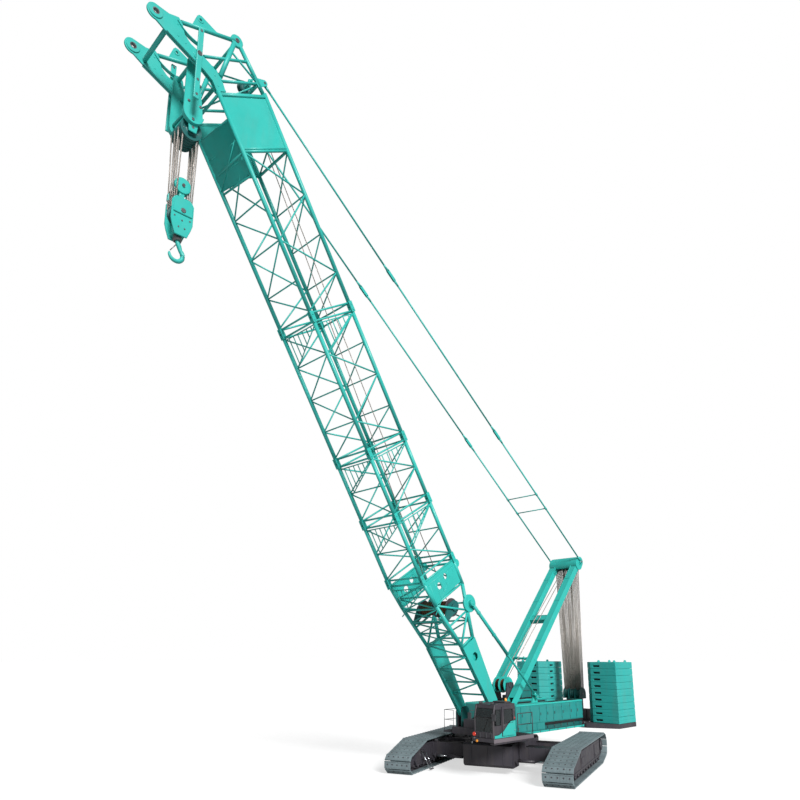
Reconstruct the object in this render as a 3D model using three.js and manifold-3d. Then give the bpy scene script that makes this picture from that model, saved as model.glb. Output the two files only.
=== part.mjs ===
// Crawler crane with a lattice boom, at its real size.
// Millimetres, +Z up, +X towards the boom head, +Y to the operator's left.
// The part's origin is the middle of its bounding box at ground level; everything below is drawn from
// the slewing axis at ground level and moved there by one group.

import * as THREE from 'three';
import { mergeVertices } from 'three/addons/utils/BufferGeometryUtils.js';
import Module from 'manifold-3d';

const wasm = await Module();
wasm.setup();

// ---------------------------------------------------------------- driving dimensions

const GAP = 1;                                   // between faces of pieces that are fastened together
const FINE = 0.2;                                // smallest step kept on a joined surface

const SLEW_OFFSET = -6632;                       // slewing axis from the middle of the bounding box, along X
const TRACK_TURN = THREE.MathUtils.degToRad(20); // crawlers turned against the upper works, as parked

const TRACK = {
  gauge: 3690, width: 1320, loop: 130, top: 1400, pitch: 330, groove: 22,
  idler: { x: 4040, z: 450, r: 450 }, sprocket: { x: -3890, z: 800, r: 600 },
  rampFoot: 2400, groundFront: 3950, groundRear: -2900,
};
const TRACK_FRAME = { half: 450, rear: -3250, top: 1180, forkThick: 80, sprocketBore: 105, idlerBore: 85 };
const WHEEL = { half: 240, hubHalf: 400, sprocketHub: 100, idlerHub: 80, clear: 15 }; // rollers at the ends of the loop
const CARBODY = { beamX: 950, beamHalf: 350, beamBottom: 480, beamTop: 1130, halfX: 1300, halfY: 1500, bottom: 520 };
const CARBODY_WEIGHT = { half: 1180, reach: 2450, bottom: 300, top: 1340 };
const SLEW_RING = { r: 1350, bottom: 1360, top: 1630 };
const DECK = { bottom: 1640, plate: 100, half: 1600, rear: -5100, front: 950 };
const GIRDER = { half: 600, top: 2350, front: 2250, tailRear: -7600 };
const NOSE = { half: 1300, top: 1950, front: 2300 };
const BOOM_EAR = { r: 280, inner: 870, outer: 1215, thick: 55 };
const MAST_EAR = { r: 210, foot: 240, inner: 400, thick: 80, pin: 70, pinEnd: 900 };
const DRUM_SIDE = { inner: 400, thick: 60, footRear: -750, footFront: 350, topRear: -460, topFront: 60, top: 4020 };
const HOUSE = { top: 3030, outer: 1600, inner: 1000, wall: 45, cabinetRear: -750, engineSide: 680 };
const ENGINE = { rear: -3700, front: -1900, outer: 1500, inner: 800, top: 2800 };
const CAB = { rear: 2270, front: 3900, right: 1400, left: 2500, floor: 1820, roof: 3250, wall: 50, bend: 2700, lean: 130 };
const CAB_GLASS = {
  frontBottom: 2080, frontTop: 3060, rightBottom: 2400, rightTop: 3060, sideBottom: 2350, sideTop: 3030,
  rearBottom: 2550, rearTop: 3030, post: 90, end: 220, pane: 14, inset: 12,
};
const DOOR = { rear: 2420, front: 3300, bottom: 1900, top: 3140, thick: 45, lap: 60, frame: 110, sill: 2420 };
const SEAT_SIZE = { baseHalf: 180, panHalf: 260, backHalf: 250, baseTop: 2170, panBottom: 2160, panTop: 2280, backTop: 2920 };
const PLATFORM = { front: 3950, outer: 2560 };
const WALKWAY = { rear: 1100, front: 2200, outer: 1950, thick: 90 };
const WEIGHT = { front: -5930, rear: -7800, inner: 1300, outer: 3220, top: 4990, base: 1560, tray: 230, chamfer: 400 };

const BOOM = {
  foot: { x: 1750, z: 2640 }, angle: THREE.MathUtils.degToRad(58.2),
  half: 1070, depth: 1200, chord: 90, lacing: 38,
  joints: [7740, 10790, 13840, 19940], headEnd: 29100,
};
const FOOT_PIN = 90;                             // boom foot pin radius
const HEAD_PIVOT = { s: 30450, z: -1420, r: 80 }; // shaft that the sheave frame hangs on, in the boom's frame
const HORN = { y: 1000, thick: 60 };
const FALLS_X = 18750;                           // plumb line of the hoist ropes
const SHEAVES = { z: 25000, r: 440, half: 440 };
const HOOK_BLOCK = { z: 21500, r: 430, half: 210, bottom: 20480, top: 22060, disc: 22680, discR: 330 };
const HOOK = { top: 20900, neck: 20450, bowlZ: 19820, bowlR: 260, bar: 90 };
const HANGER = { cheek: [560, 620], link: [1110, 1190], linkHalf: 110, linkDrop: 2030, linkRise: 1180, plate: [510, 570], shaft: 1200 };

const HOIST_DRUM = { x: -200, z: 3900, half: 350, barrel: 270, flange: 400, shaft: 70 };
const WINCH_DRUM = { x: 5700, z: 100, half: 900, barrel: 300, flange: 430, shaft: 70 };
const SPREADER = { rear: -7400, front: -6500, half: 560, bottom: 2900, top: 3500, postRear: -7200, postFront: -6700, postHalf: 400 };
const MAST = { foot: { x: 350, z: 2750 }, top: { x: -6900, z: 10750 }, half: 700, leg: 360, footR: 190, headHalf: 920, headR: 300 };
const PENDANT = { y: 975, r: 48, head: { s: 29580, z: 1500 } };
const BACKSTOP = { y: 1300, top: { s: 5380, z: 1040 }, foot: { x: -1250, z: 3310 }, tube: 85, rod: 55 };

// ---------------------------------------------------------------- finishes

function paint(colour, roughness, metalness) {
  return new THREE.MeshStandardMaterial({ color: colour, roughness, metalness });
}
const TEAL = paint(0x3cc4ba, 0.4, 0.1);
const DARK = paint(0x37343c, 0.6, 0.2);
const SHOE = paint(0x7d8c91, 0.55, 0.5);
const ROPE = paint(0x8a6a52, 0.7, 0.3);
const GLASS = paint(0x22282b, 0.1, 0);
const SEAT = paint(0x2b2b2e, 0.9, 0);

// ---------------------------------------------------------------- shape helpers

const v3 = (x, y, z) => new THREE.Vector3(x, y, z);

// A closed three.js geometry as a manifold solid.
function solid(geometry) {
  const bare = geometry.clone();
  for (const name of Object.keys(bare.attributes)) if (name !== 'position') bare.deleteAttribute(name);
  const welded = mergeVertices(bare, 1e-3);
  return new wasm.Manifold(new wasm.Mesh({
    numProp: 3,
    vertProperties: new Float32Array(welded.attributes.position.array),
    triVerts: new Uint32Array(welded.index.array),
  }));
}

function geometryOf(body) {
  const mesh = body.getMesh();
  const geometry = new THREE.BufferGeometry();
  geometry.setAttribute('position', new THREE.BufferAttribute(new Float32Array(mesh.vertProperties), 3));
  geometry.setIndex(new THREE.BufferAttribute(new Uint32Array(mesh.triVerts), 1));
  return geometry;
}

const join = (...bodies) => wasm.Manifold.union(bodies.flat());

function block(x0, x1, y0, y1, z0, z1) {
  const geometry = new THREE.BoxGeometry(x1 - x0, y1 - y0, z1 - z0);
  geometry.translate((x0 + x1) / 2, (y0 + y1) / 2, (z0 + z1) / 2);
  return solid(geometry);
}

// A round or square bar from a to b.
function bar(a, b, radius, sides = 4, endRadius = radius) {
  const along = b.clone().sub(a);
  const geometry = new THREE.CylinderGeometry(endRadius, radius, along.length(), sides);
  geometry.rotateY(Math.PI / sides);
  geometry.applyQuaternion(new THREE.Quaternion().setFromUnitVectors(v3(0, 1, 0), along.normalize()));
  const middle = a.clone().add(b).multiplyScalar(0.5);
  geometry.translate(middle.x, middle.y, middle.z);
  return solid(geometry);
}

// A round pin or drum across the crane, centred on (x, z), from y0 to y1.
const cross = (x, z, y0, y1, radius, sides = 16) => bar(v3(x, y0, z), v3(x, y1, z), radius, sides);

// An outline as a shape whose points run anticlockwise.
function outlineShape(points) {
  const corners = points.map(([a, b]) => new THREE.Vector2(a, b));
  return new THREE.Shape(THREE.ShapeUtils.isClockWise(corners) ? corners.reverse() : corners);
}

// A flat plate standing in the XZ plane, from y0 to y1, with its outline as [x, z] points.
function plate(points, y0, y1, holes = []) {
  const shape = outlineShape(points);
  for (const [x, z, radius] of holes) {
    shape.holes.push(new THREE.Path(arc(x, z, radius, 360, 30, 11).map(([a, b]) => new THREE.Vector2(a, b))));
  }
  const geometry = new THREE.ExtrudeGeometry(shape, { depth: y1 - y0, bevelEnabled: false });
  geometry.rotateX(Math.PI / 2);
  geometry.translate(0, y1, 0);
  return solid(geometry);
}

// A slab with its outline as [x, y] points, from z0 to z1.
function slab(points, z0, z1) {
  const geometry = new THREE.ExtrudeGeometry(outlineShape(points), { depth: z1 - z0, bevelEnabled: false });
  geometry.translate(0, 0, z0);
  return solid(geometry);
}

function arc(x, z, radius, from, to, steps) {
  const points = [];
  for (let i = 0; i <= steps; i += 1) {
    const angle = THREE.MathUtils.degToRad(from + (to - from) * i / steps);
    points.push([x + radius * Math.cos(angle), z + radius * Math.sin(angle)]);
  }
  return points;
}

const mirrorY = (body) => body.mirror([0, 1, 0]);

function node(group, name, body, material) {
  const mesh = new THREE.Mesh(geometryOf(body.simplify(FINE)), material);
  mesh.name = name;
  group.add(mesh);
}

// ---------------------------------------------------------------- undercarriage

// The chain loop's outline, drawn inwards by inset: idler nose, ground run, sprocket, top run, ramp.
function loopPoints(inset) {
  const { idler, sprocket, top } = TRACK;
  return [
    [TRACK.groundRear, inset],
    [TRACK.groundFront, inset],
    ...arc(idler.x, idler.z, idler.r - inset, -80, 70, 8),
    [TRACK.rampFoot, top - inset],
    ...arc(sprocket.x, sprocket.z, sprocket.r - inset, 90, 255, 9),
  ];
}

// The loop's outer edge, with a V groove where one shoe meets the next.
function shoeOutline() {
  const corners = loopPoints(0).map(([x, z]) => new THREE.Vector2(x, z));
  const path = new THREE.CurvePath();
  corners.forEach((corner, i) => path.add(new THREE.LineCurve(corner, corners[(i + 1) % corners.length])));
  const shoes = Math.round(path.getLength() / TRACK.pitch);
  const middle = new THREE.Vector2(0, TRACK.top / 2);
  const points = [];
  for (let i = 0; i < shoes; i += 1) {
    const groove = path.getPointAt(i / shoes);
    const inward = groove.clone().sub(middle);
    inward.x = Math.abs(inward.x) > TRACK.idler.x - TRACK.idler.r ? Math.sign(inward.x) * 300 : 0;
    groove.sub(inward.normalize().multiplyScalar(TRACK.groove));
    points.push([groove.x, groove.y]);
    for (const part of [0.07, 0.93]) {
      const edge = path.getPointAt((i + part) / shoes);
      points.push([edge.x, edge.y]);
    }
  }
  return points;
}

function crawler(group, side, y) {
  const half = TRACK.width / 2;
  const outer = plate(shoeOutline(), y - half, y + half);
  const inner = plate(loopPoints(TRACK.loop), y - half - 10, y + half + 10);
  node(group, `track_${side}`, outer.subtract(inner), SHOE);

  const { half: frameHalf, rear, top, forkThick, sprocketBore, idlerBore } = TRACK_FRAME;
  const outline = [[rear, 330], [3250, 260], [3450, 520], [3450, 760], [2200, top], [rear, top]];
  const beam = plate(outline, y - frameHalf, y + frameHalf);
  const forks = [-380, 300].flatMap((offset) => [
    block(rear - 800, rear + 50, y + offset, y + offset + forkThick, 620, 980),
    block(3400, 4150, y + offset, y + offset + forkThick, 350, 600),
  ]);
  const bore = ({ x, z }, radius) => cross(x, z, y - half, y + half, radius, 16);
  const frame = join(beam, forks).subtract(join(bore(TRACK.sprocket, sprocketBore), bore(TRACK.idler, idlerBore)));
  node(group, `track_frame_${side}`, frame, DARK);

  const wheel = ({ x, z, r }, hub) => join(
    cross(x, z, y - WHEEL.half, y + WHEEL.half, r - TRACK.loop - WHEEL.clear, 20),
    cross(x, z, y - WHEEL.hubHalf, y + WHEEL.hubHalf, hub, 16));
  node(group, `drive_sprocket_${side}`, wheel(TRACK.sprocket, WHEEL.sprocketHub), DARK);
  node(group, `idler_${side}`, wheel(TRACK.idler, WHEEL.idlerHub), DARK);
}

function undercarriage() {
  const group = new THREE.Group();
  group.rotation.z = TRACK_TURN;
  crawler(group, 'left', TRACK.gauge);
  crawler(group, 'right', -TRACK.gauge);

  const { beamX, beamHalf, beamBottom, beamTop, halfX, halfY, bottom } = CARBODY;
  const inner = TRACK.gauge - TRACK_FRAME.half - GAP;
  const beams = [-beamX, beamX].map((x) => block(x - beamHalf, x + beamHalf, -inner, inner, beamBottom, beamTop));
  const centre = block(-halfX, halfX, -halfY, halfY, bottom, SLEW_RING.bottom - GAP);
  node(group, 'carbody', join(beams, centre), DARK);
  for (const [name, end] of [['front', 1], ['rear', -1]]) {
    const { half, reach, bottom: low, top: high } = CARBODY_WEIGHT;
    const face = [[halfX + GAP, low], [reach - 150, low], [reach, low + 120], [reach, high - 80], [reach - 200, high],
      [halfX + GAP, high]];
    const weight = plate(face.map(([x, z]) => [end * x, z]), -half, half);
    node(group, `carbody_weight_${name}`, weight, DARK);
  }
  const ring = bar(v3(0, 0, SLEW_RING.bottom), v3(0, 0, SLEW_RING.top), SLEW_RING.r, 24);
  node(group, 'slewing_ring', ring, DARK);
  return group;
}

// ---------------------------------------------------------------- upper works

function revolvingFrame() {
  const { bottom, plate: thick, half, rear, front } = DECK;
  const { x, z } = BOOM.foot;
  const deck = block(rear, front, -half, half, bottom, bottom + thick);
  const girder = block(rear, GIRDER.front, -GIRDER.half, GIRDER.half, bottom, GIRDER.top);
  const trayTop = WEIGHT.base + WEIGHT.tray + 2 * GAP;
  const tail = block(GIRDER.tailRear, rear + GAP, -GIRDER.half, GIRDER.half, trayTop, GIRDER.top);
  const nose = block(front + GAP, NOSE.front, -NOSE.half, NOSE.half, bottom, NOSE.top);
  const ear = [[x - BOOM_EAR.r, NOSE.top - 100], [x + BOOM_EAR.r, NOSE.top - 100], [x + BOOM_EAR.r, z],
    ...arc(x, z, BOOM_EAR.r, 30, 150, 4), [x - BOOM_EAR.r, z]];
  const ears = [BOOM_EAR.inner, BOOM_EAR.outer].flatMap((y) => [
    plate(ear, y, y + BOOM_EAR.thick), plate(ear, -y - BOOM_EAR.thick, -y)]);
  const pins = [1, -1].map((s) => cross(x, z, s * (BOOM_EAR.inner + 10), s * (BOOM_EAR.outer + 45), FOOT_PIN, 20));
  const foot = MAST.foot;
  const mastEar = [[foot.x - MAST_EAR.foot, NOSE.top], [foot.x + MAST_EAR.foot, NOSE.top],
    ...arc(foot.x, foot.z, MAST_EAR.r, 0, 180, 6)];
  const mastEars = [-MAST_EAR.inner - MAST_EAR.thick, MAST_EAR.inner].map((y) => plate(mastEar, y, y + MAST_EAR.thick));
  const mastPins = [1, -1].map((s) => cross(foot.x, foot.z, s * (MAST_EAR.inner + 20), s * MAST_EAR.pinEnd, MAST_EAR.pin, 20));
  const { inner, thick: web, footRear, footFront, topRear, topFront, top } = DRUM_SIDE;
  const drumSide = [[footRear, NOSE.top], [footFront, NOSE.top], [topFront, top], [topRear, top]];
  const bearing = [HOIST_DRUM.x, HOIST_DRUM.z, HOIST_DRUM.shaft + 7];
  const drumSides = [-inner - web, inner].map((y) => plate(drumSide, y, y + web, [bearing]));
  return join(deck, girder, tail, nose, ears, pins, mastEars, mastPins, drumSides);
}

// A thin-walled machinery house, open underneath, with its cabinet reaching forward beside the mast foot.
function houseRight() {
  const floor = DECK.bottom + DECK.plate + GAP;
  const { outer, top, wall, inner, cabinetRear, engineSide } = HOUSE;
  const outline = [[DECK.rear, -outer], [DECK.front, -outer], [DECK.front, -inner], [cabinetRear, -inner],
    [cabinetRear, -engineSide], [DECK.rear, -engineSide]];
  const room = block(DECK.rear + wall, cabinetRear - wall, -outer + wall, -engineSide - wall, floor - 10, top - wall);
  return slab(outline, floor, top).subtract(room);
}

function cabShell() {
  const { rear, front, right, left, floor, roof, wall, bend, lean } = CAB;
  const glass = CAB_GLASS;
  const side = (inset) => [[rear + inset, floor + inset], [front - inset, floor + inset], [front - inset, bend],
    [front - lean - inset * 0.7, roof - inset], [rear + inset, roof - inset]];
  const shell = plate(side(0), right, left);
  const room = plate(side(wall), right + wall, left - wall);
  const through = wall + 20;
  const doorway = block(DOOR.rear + DOOR.lap, DOOR.front - DOOR.lap, left - through, left + 20, DOOR.bottom + DOOR.lap, DOOR.top - DOOR.lap);
  const sideGlass = block(DOOR.front + 40, front - 190, left - through, left + 20, glass.sideBottom, glass.sideTop);
  const windscreenHole = block(front - 400, front + 50, right + glass.post, left - glass.post, glass.frontBottom, glass.frontTop);
  const rightGlass = block(rear + 350, front - 260, right - 20, right + through, glass.rightBottom, glass.rightTop);
  const rearGlass = block(rear - 20, rear + through, right + glass.end, left - glass.end, glass.rearBottom, glass.rearTop);
  const skylight = block(rear + 550, front - 480, right + glass.end, left - glass.end, roof - through, roof + 20);
  return [room, doorway, sideGlass, windscreenHole, rightGlass, rearGlass, skylight]
    .reduce((body, opening) => body.subtract(opening), shell);
}

// The door laps over the outside of the left wall; its window is cut.
function cabDoor() {
  const y = CAB.left + 6;
  const { rear, front, bottom, top, thick, frame, sill } = DOOR;
  return block(rear, front, y, y + thick, bottom, top)
    .subtract(block(rear + frame, front - frame, y - 10, y + thick + 10, sill, top - frame));
}

// The pane follows the windscreen opening: upright below, leaning back above.
function windscreen() {
  const { front, right, left, bend, roof, lean } = CAB;
  const { frontBottom, frontTop, post, pane, inset } = CAB_GLASS;
  const face = (z) => front - inset - Math.max(0, z - bend) * lean / (roof - bend);
  const heights = [frontBottom + GAP, bend, frontTop - GAP];
  const outline = [...heights.map((z) => [face(z), z]), ...heights.reverse().map((z) => [face(z) - pane, z])];
  return plate(outline, right + post + GAP, left - post - GAP);
}

function operatorSeat() {
  const { floor, wall } = CAB;
  const { baseHalf, panHalf, backHalf, baseTop, panBottom, panTop, backTop } = SEAT_SIZE;
  const y = (CAB.right + CAB.left) / 2;
  const base = block(2720, 3060, y - baseHalf, y + baseHalf, floor + wall + GAP, baseTop);
  const pan = block(2620, 3160, y - panHalf, y + panHalf, panBottom, panTop);
  const back = plate([[2620, panBottom + 40], [2740, panBottom + 40], [2660, backTop], [2540, backTop]], y - backHalf, y + backHalf);
  return join(base, pan, back);
}

function counterweights(group) {
  const { front, rear, inner, outer, top, base, tray, chamfer } = WEIGHT;
  const floor = base + tray;
  const trayOutline = [[-5200, -1700], [-5200, 1700], [front, outer], [rear, outer], [rear, -outer], [front, -outer]];
  node(group, 'counterweight_tray', slab(trayOutline, base, floor), DARK);
  const stack = [[front - chamfer, inner], [front, inner + chamfer], [front, outer], [rear, outer], [rear, inner]];
  const left = slab(stack, floor + GAP, top);
  node(group, 'counterweight_left', left, TEAL);
  node(group, 'counterweight_right', mirrorY(left), TEAL);
}

// A drum with three flanges, on a shaft that turns in its side frames.
function drum({ x, z, half, barrel, flange, shaft }) {
  const rings = [-half, -25, half - 50].map((y) => cross(x, z, y, y + 50, flange, 24));
  return join(cross(x, z, -half, half, barrel, 24), cross(x, z, -half - 90, half + 90, shaft, 16), rings);
}

function upperWorks() {
  const group = new THREE.Group();
  const floor = DECK.bottom + DECK.plate + GAP;
  node(group, 'revolving_frame', revolvingFrame(), DARK);
  node(group, 'machinery_house_left', block(DECK.rear, DECK.front, HOUSE.inner, HOUSE.outer, floor, HOUSE.top), TEAL);
  node(group, 'machinery_house_right', houseRight(), TEAL);
  node(group, 'engine_block', block(ENGINE.rear, ENGINE.front, -ENGINE.outer, -ENGINE.inner, floor, ENGINE.top), DARK);
  const platform = block(DECK.front + GAP, PLATFORM.front, NOSE.half + GAP, PLATFORM.outer, DECK.bottom, CAB.floor - GAP);
  node(group, 'cab_platform', platform, DARK);
  node(group, 'cab_shell', cabShell(), DARK);
  node(group, 'cab_windscreen', windscreen(), GLASS);
  node(group, 'cab_door', cabDoor(), DARK);
  node(group, 'operator_seat', operatorSeat(), SEAT);
  const walkway = block(WALKWAY.rear, WALKWAY.front, -WALKWAY.outer, -NOSE.half - GAP, DECK.bottom, DECK.bottom + WALKWAY.thick);
  node(group, 'walkway_right', walkway, DARK);
  counterweights(group);

  const head = block(SPREADER.rear, SPREADER.front, -SPREADER.half, SPREADER.half, SPREADER.bottom, SPREADER.top);
  const post = block(SPREADER.postRear, SPREADER.postFront, -SPREADER.postHalf, SPREADER.postHalf, GIRDER.top + GAP, SPREADER.bottom + 50);
  node(group, 'boom_hoist_spreader', join(head, post), DARK);
  node(group, 'boom_hoist_drum', drum(HOIST_DRUM), ROPE);

  const { x, z } = BACKSTOP.foot;
  const bracket = plate([[x - 260, HOUSE.top + GAP], [x + 260, HOUSE.top + GAP], ...arc(x, z, 110, 0, 180, 6)],
    BACKSTOP.y - 200, BACKSTOP.y - 120);
  node(group, 'backstop_bracket_left', bracket, TEAL);
  node(group, 'backstop_bracket_right', mirrorY(bracket), TEAL);
  return group;
}

// ---------------------------------------------------------------- boom, in its own frame: X along it, Z to its back

// The four chords' places across the boom, as [y, z] pairs.
const CHORDS = [[1, -1], [1, 1], [-1, 1], [-1, -1]].map(([y, z]) => [y * BOOM.half, z * BOOM.depth]);

// Four chords with a frame at each end, zigzag lacing on the sides, posts and diagonals front and back.
function lattice(s0, s1, bays) {
  const { chord, lacing } = BOOM;
  const start = s0 + GAP / 2;
  const end = s1 - GAP / 2;
  const at = (s, corner) => v3(s, ...CHORDS[corner % 4]);
  const bars = [];
  for (let corner = 0; corner < 4; corner += 1) {
    bars.push(bar(at(start, corner), at(end, corner), chord, 6));
    const onSide = corner % 2 === 0;
    for (const s of [start + 70, end - 70]) bars.push(bar(at(s, corner), at(s, corner + 1), 45));
    const step = (end - start - 400) / bays;
    for (let i = 0; i < bays; i += 1) {
      const a = start + 200 + i * step;
      const flip = onSide && i % 2 === 1 ? 1 : 0;
      bars.push(bar(at(a, corner + flip), at(a + step, corner + 1 - flip), lacing));
      if (!onSide && i > 0) bars.push(bar(at(a, corner), at(a, corner + 1), lacing));
    }
  }
  return join(bars);
}

function boomBase() {
  const { half, depth, chord, joints } = BOOM;
  const end = joints[0] - GAP / 2;
  const legs = [1, -1].flatMap((side) => {
    const y = side * half;
    const outline = [...arc(0, 0, 250, 100, 262, 6), [3900, -520], [3900, 480]];
    return [
      plate(outline, y - 110, y + 110),
      bar(v3(3800, y, -430), v3(7450, y, -depth), chord, 6),
      bar(v3(7400, y, -depth), v3(end, y, -depth), chord, 6),
      bar(v3(3800, y, 390), v3(6400, y, depth), chord, 6),
      bar(v3(6350, y, depth), v3(end, y, depth), chord, 6),
      plate([[6350, -930], [end - 20, -depth], [end - 20, depth], [6450, depth]], y - 15, y + 15,
        [[7050, -250, 170], [7150, 350, 150]]),
      bar(v3(4000, y, -460), v3(5100, y, 780), 45),
      bar(v3(5100, y, 780), v3(6300, y, -880), 45),
    ];
  });
  const across = [[1500, 0], [2700, -260], [3900, -430], [3900, 390], [5100, -680], [5100, 780], [6400, -950],
    [6400, depth], [end - 70, -depth], [end - 70, depth]]
    .map(([s, z]) => bar(v3(s, -half, z), v3(s, half, z), 50));
  const diagonals = [[3900, -430, 5100, -680], [5100, -680, 6400, -950], [6400, -950, end - 70, -depth],
    [2700, -260, 3900, -430], [1500, 0, 2700, -260]]
    .map(([s0, z0, s1, z1], i) => bar(v3(s0, i % 2 ? half : -half, z0), v3(s1, i % 2 ? -half : half, z1), 38));
  const pinHoles = [1, -1].map((side) => cross(0, 0, side * 900, side * 1240, FOOT_PIN + 6, 20));
  const backstopPins = [1, -1].map((side) => join(
    cross(BACKSTOP.top.s, BACKSTOP.top.z, side * half, side * (half + 120), 200, 16),
    cross(BACKSTOP.top.s, BACKSTOP.top.z, side * half, side * (BACKSTOP.y + 110), 60, 16)));
  return join(legs, across, diagonals, backstopPins).subtract(join(pinHoles));
}

function boomTop() {
  const [, , , start] = BOOM.joints;
  const end = BOOM.headEnd;
  const body = lattice(start, end, 5);
  const side = [1, -1].map((s) => block(26800, end - 90, s * BOOM.half - 10, s * BOOM.half + 10, -BOOM.depth, BOOM.depth));
  const belly = block(25900, 28200, -BOOM.half, BOOM.half, -BOOM.depth - 45, -BOOM.depth - 20);
  return join(body, side, belly);
}

// The head: two curved horns with eyes for a jib, tied to the chords and to each other.
function boomHead() {
  const { y, thick } = HORN;
  const start = BOOM.headEnd + GAP / 2;
  const horn = [
    [start, -1260], [29500, -1260], [30000, -1520], [30460, -1860], [31260, -2430],
    ...arc(31960, -2520, 330, 215, 360, 5), [31900, -1560], [31650, -1500], [31230, -1700], [30840, -1620],
    [30560, -1240], [30200, -980], [29700, -700], [start, -780],
  ];
  const parts = [1, -1].flatMap((side) => {
    const at = side * y;
    return [
      plate(horn, at - thick / 2, at + thick / 2, [[31960, -2520, 120], [HEAD_PIVOT.s, HEAD_PIVOT.z, HEAD_PIVOT.r + 6]]),
      bar(v3(31700, at, -1520), v3(31250, at, 900), 80),
      plate([[31600, -1100], [32080, -620], [32080, -420], [31450, 60]], at - 30, at + 30, [[31900, -560, 70]]),
      cross(31230, 920, at - 60, at + 60, 270, 12),
      bar(v3(start, at, BOOM.depth), v3(31230, at, 960), 85),
      bar(v3(31100, at, 700), v3(29700, at, -760), 100),
      bar(v3(29550, at, -760), v3(29550, at, BOOM.depth), 60),
      bar(v3(30470, at, -1150), v3(30430, at, 1050), 60),
      block(start, start + 60, Math.min(at - 60 * side, at + 160 * side), Math.max(at - 60 * side, at + 160 * side), -1240, -780),
      plate([[29380, 1050], [29780, 1050], [29680, 1600], [29480, 1600]], side * 1045 - 15, side * 1045 + 15),
    ];
  });
  const ties = [[31420, -2280, 95], [31230, 920, 75], [29500, -880, 75], [29500, 1080, 70]]
    .map(([s, z, r]) => bar(v3(s, -y, z), v3(s, y, z), r, 8));
  return join(parts, ties).intersect(block(start, 33000, -2000, 2000, -3500, 2000));
}

function boom() {
  const group = new THREE.Group();
  group.position.set(BOOM.foot.x, 0, BOOM.foot.z);
  group.rotation.y = -BOOM.angle;
  const [j0, j1, j2, j3] = BOOM.joints;
  node(group, 'boom_base', boomBase(), TEAL);
  node(group, 'boom_insert_1', lattice(j0, j1, 2), TEAL);
  node(group, 'boom_insert_2', lattice(j1, j2, 2), TEAL);
  node(group, 'boom_insert_3', lattice(j2, j3, 4), TEAL);
  node(group, 'boom_top_section', boomTop(), TEAL);
  node(group, 'boom_head', boomHead(), TEAL);
  node(group, 'boom_winch_drum', drum(WINCH_DRUM), DARK);
  return group;
}

// ---------------------------------------------------------------- sheave frame, hook block and hook, hanging plumb

// A point given in the boom's frame, in the crane's frame.
function fromBoom(s, z) {
  const { foot, angle } = BOOM;
  return { x: foot.x + s * Math.cos(angle) - z * Math.sin(angle), z: foot.z + s * Math.sin(angle) + z * Math.cos(angle) };
}

function sheaveFrame() {
  const pivot = fromBoom(HEAD_PIVOT.s, HEAD_PIVOT.z);
  const cheek = [[pivot.x - 200, pivot.z], [FALLS_X - 330, 26200], ...arc(FALLS_X + 60, 25520, 400, 180, 360, 10),
    [FALLS_X + 460, 26200], [pivot.x + 200, pivot.z + 60], [pivot.x, pivot.z + 220]];
  const link = [[pivot.x - HANGER.linkHalf, pivot.z - HANGER.linkDrop], [pivot.x + HANGER.linkHalf, pivot.z - HANGER.linkDrop],
    [pivot.x + HANGER.linkHalf, pivot.z + HANGER.linkRise], [pivot.x - HANGER.linkHalf, pivot.z + HANGER.linkRise]];
  const hanger = [[FALLS_X - 150, 24800], [FALLS_X + 150, 24800], [FALLS_X + 250, 25500], [FALLS_X - 250, 25500]];
  const pair = (outline, [a, b]) => [plate(outline, a, b), plate(outline, -b, -a)];
  const shaft = cross(pivot.x, pivot.z, -HANGER.shaft, HANGER.shaft, HEAD_PIVOT.r, 16);
  const bore = cross(FALLS_X, SHEAVES.z, -505, 505, 70, 12);
  const axle = cross(FALLS_X, SHEAVES.z, -HANGER.plate[1], HANGER.plate[1], 60, 12);
  return join(pair(cheek, HANGER.cheek), pair(link, HANGER.link), shaft, pair(hanger, HANGER.plate)).subtract(bore).add(axle);
}

function sheaves(z, radius, half, count, bore) {
  const pitch = 2 * half / count;
  const profile = [];
  profile.push(new THREE.Vector2(bore, -half));
  for (let i = 0; i < count; i += 1) {
    const y = -half + i * pitch;
    profile.push(new THREE.Vector2(radius, y + 8), new THREE.Vector2(radius - 50, y + pitch / 2));
  }
  profile.push(new THREE.Vector2(radius, half - 8), new THREE.Vector2(bore, half), new THREE.Vector2(bore, -half));
  const geometry = new THREE.LatheGeometry(profile, 20);
  geometry.translate(FALLS_X, 0, z);
  return solid(geometry);
}

function hookBlock() {
  const { z, r, half, bottom, top, disc, discR } = HOOK_BLOCK;
  const x = FALLS_X;
  const right = [[x + 240, bottom], [x + 430, 21050], [x + 430, 21850], [x + 260, top]];
  const outline = [...right, ...right.map(([a, b]) => [2 * x - a, b]).reverse()];
  const cheeks = [plate(outline, half + 15, half + 75), plate(outline, -half - 75, -half - 15)];
  const crosshead = block(x - 200, x + 200, -half - 60, half + 60, 20600, z - r - 40);
  const bridge = block(x - 240, x + 240, -half - 60, half + 60, z + r + 30, top);
  const neck = block(x - 100, x + 100, -100, 100, top - 10, disc);
  const head = cross(x, disc, -150, 150, discR, 16);
  const axle = cross(x, z, -half - 70, half + 70, 70, 12);
  return join(cheeks, crosshead, bridge, neck, head, axle)
    .subtract(bar(v3(x, 0, bottom), v3(x, 0, z - r - 150), 105, 16));
}

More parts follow.
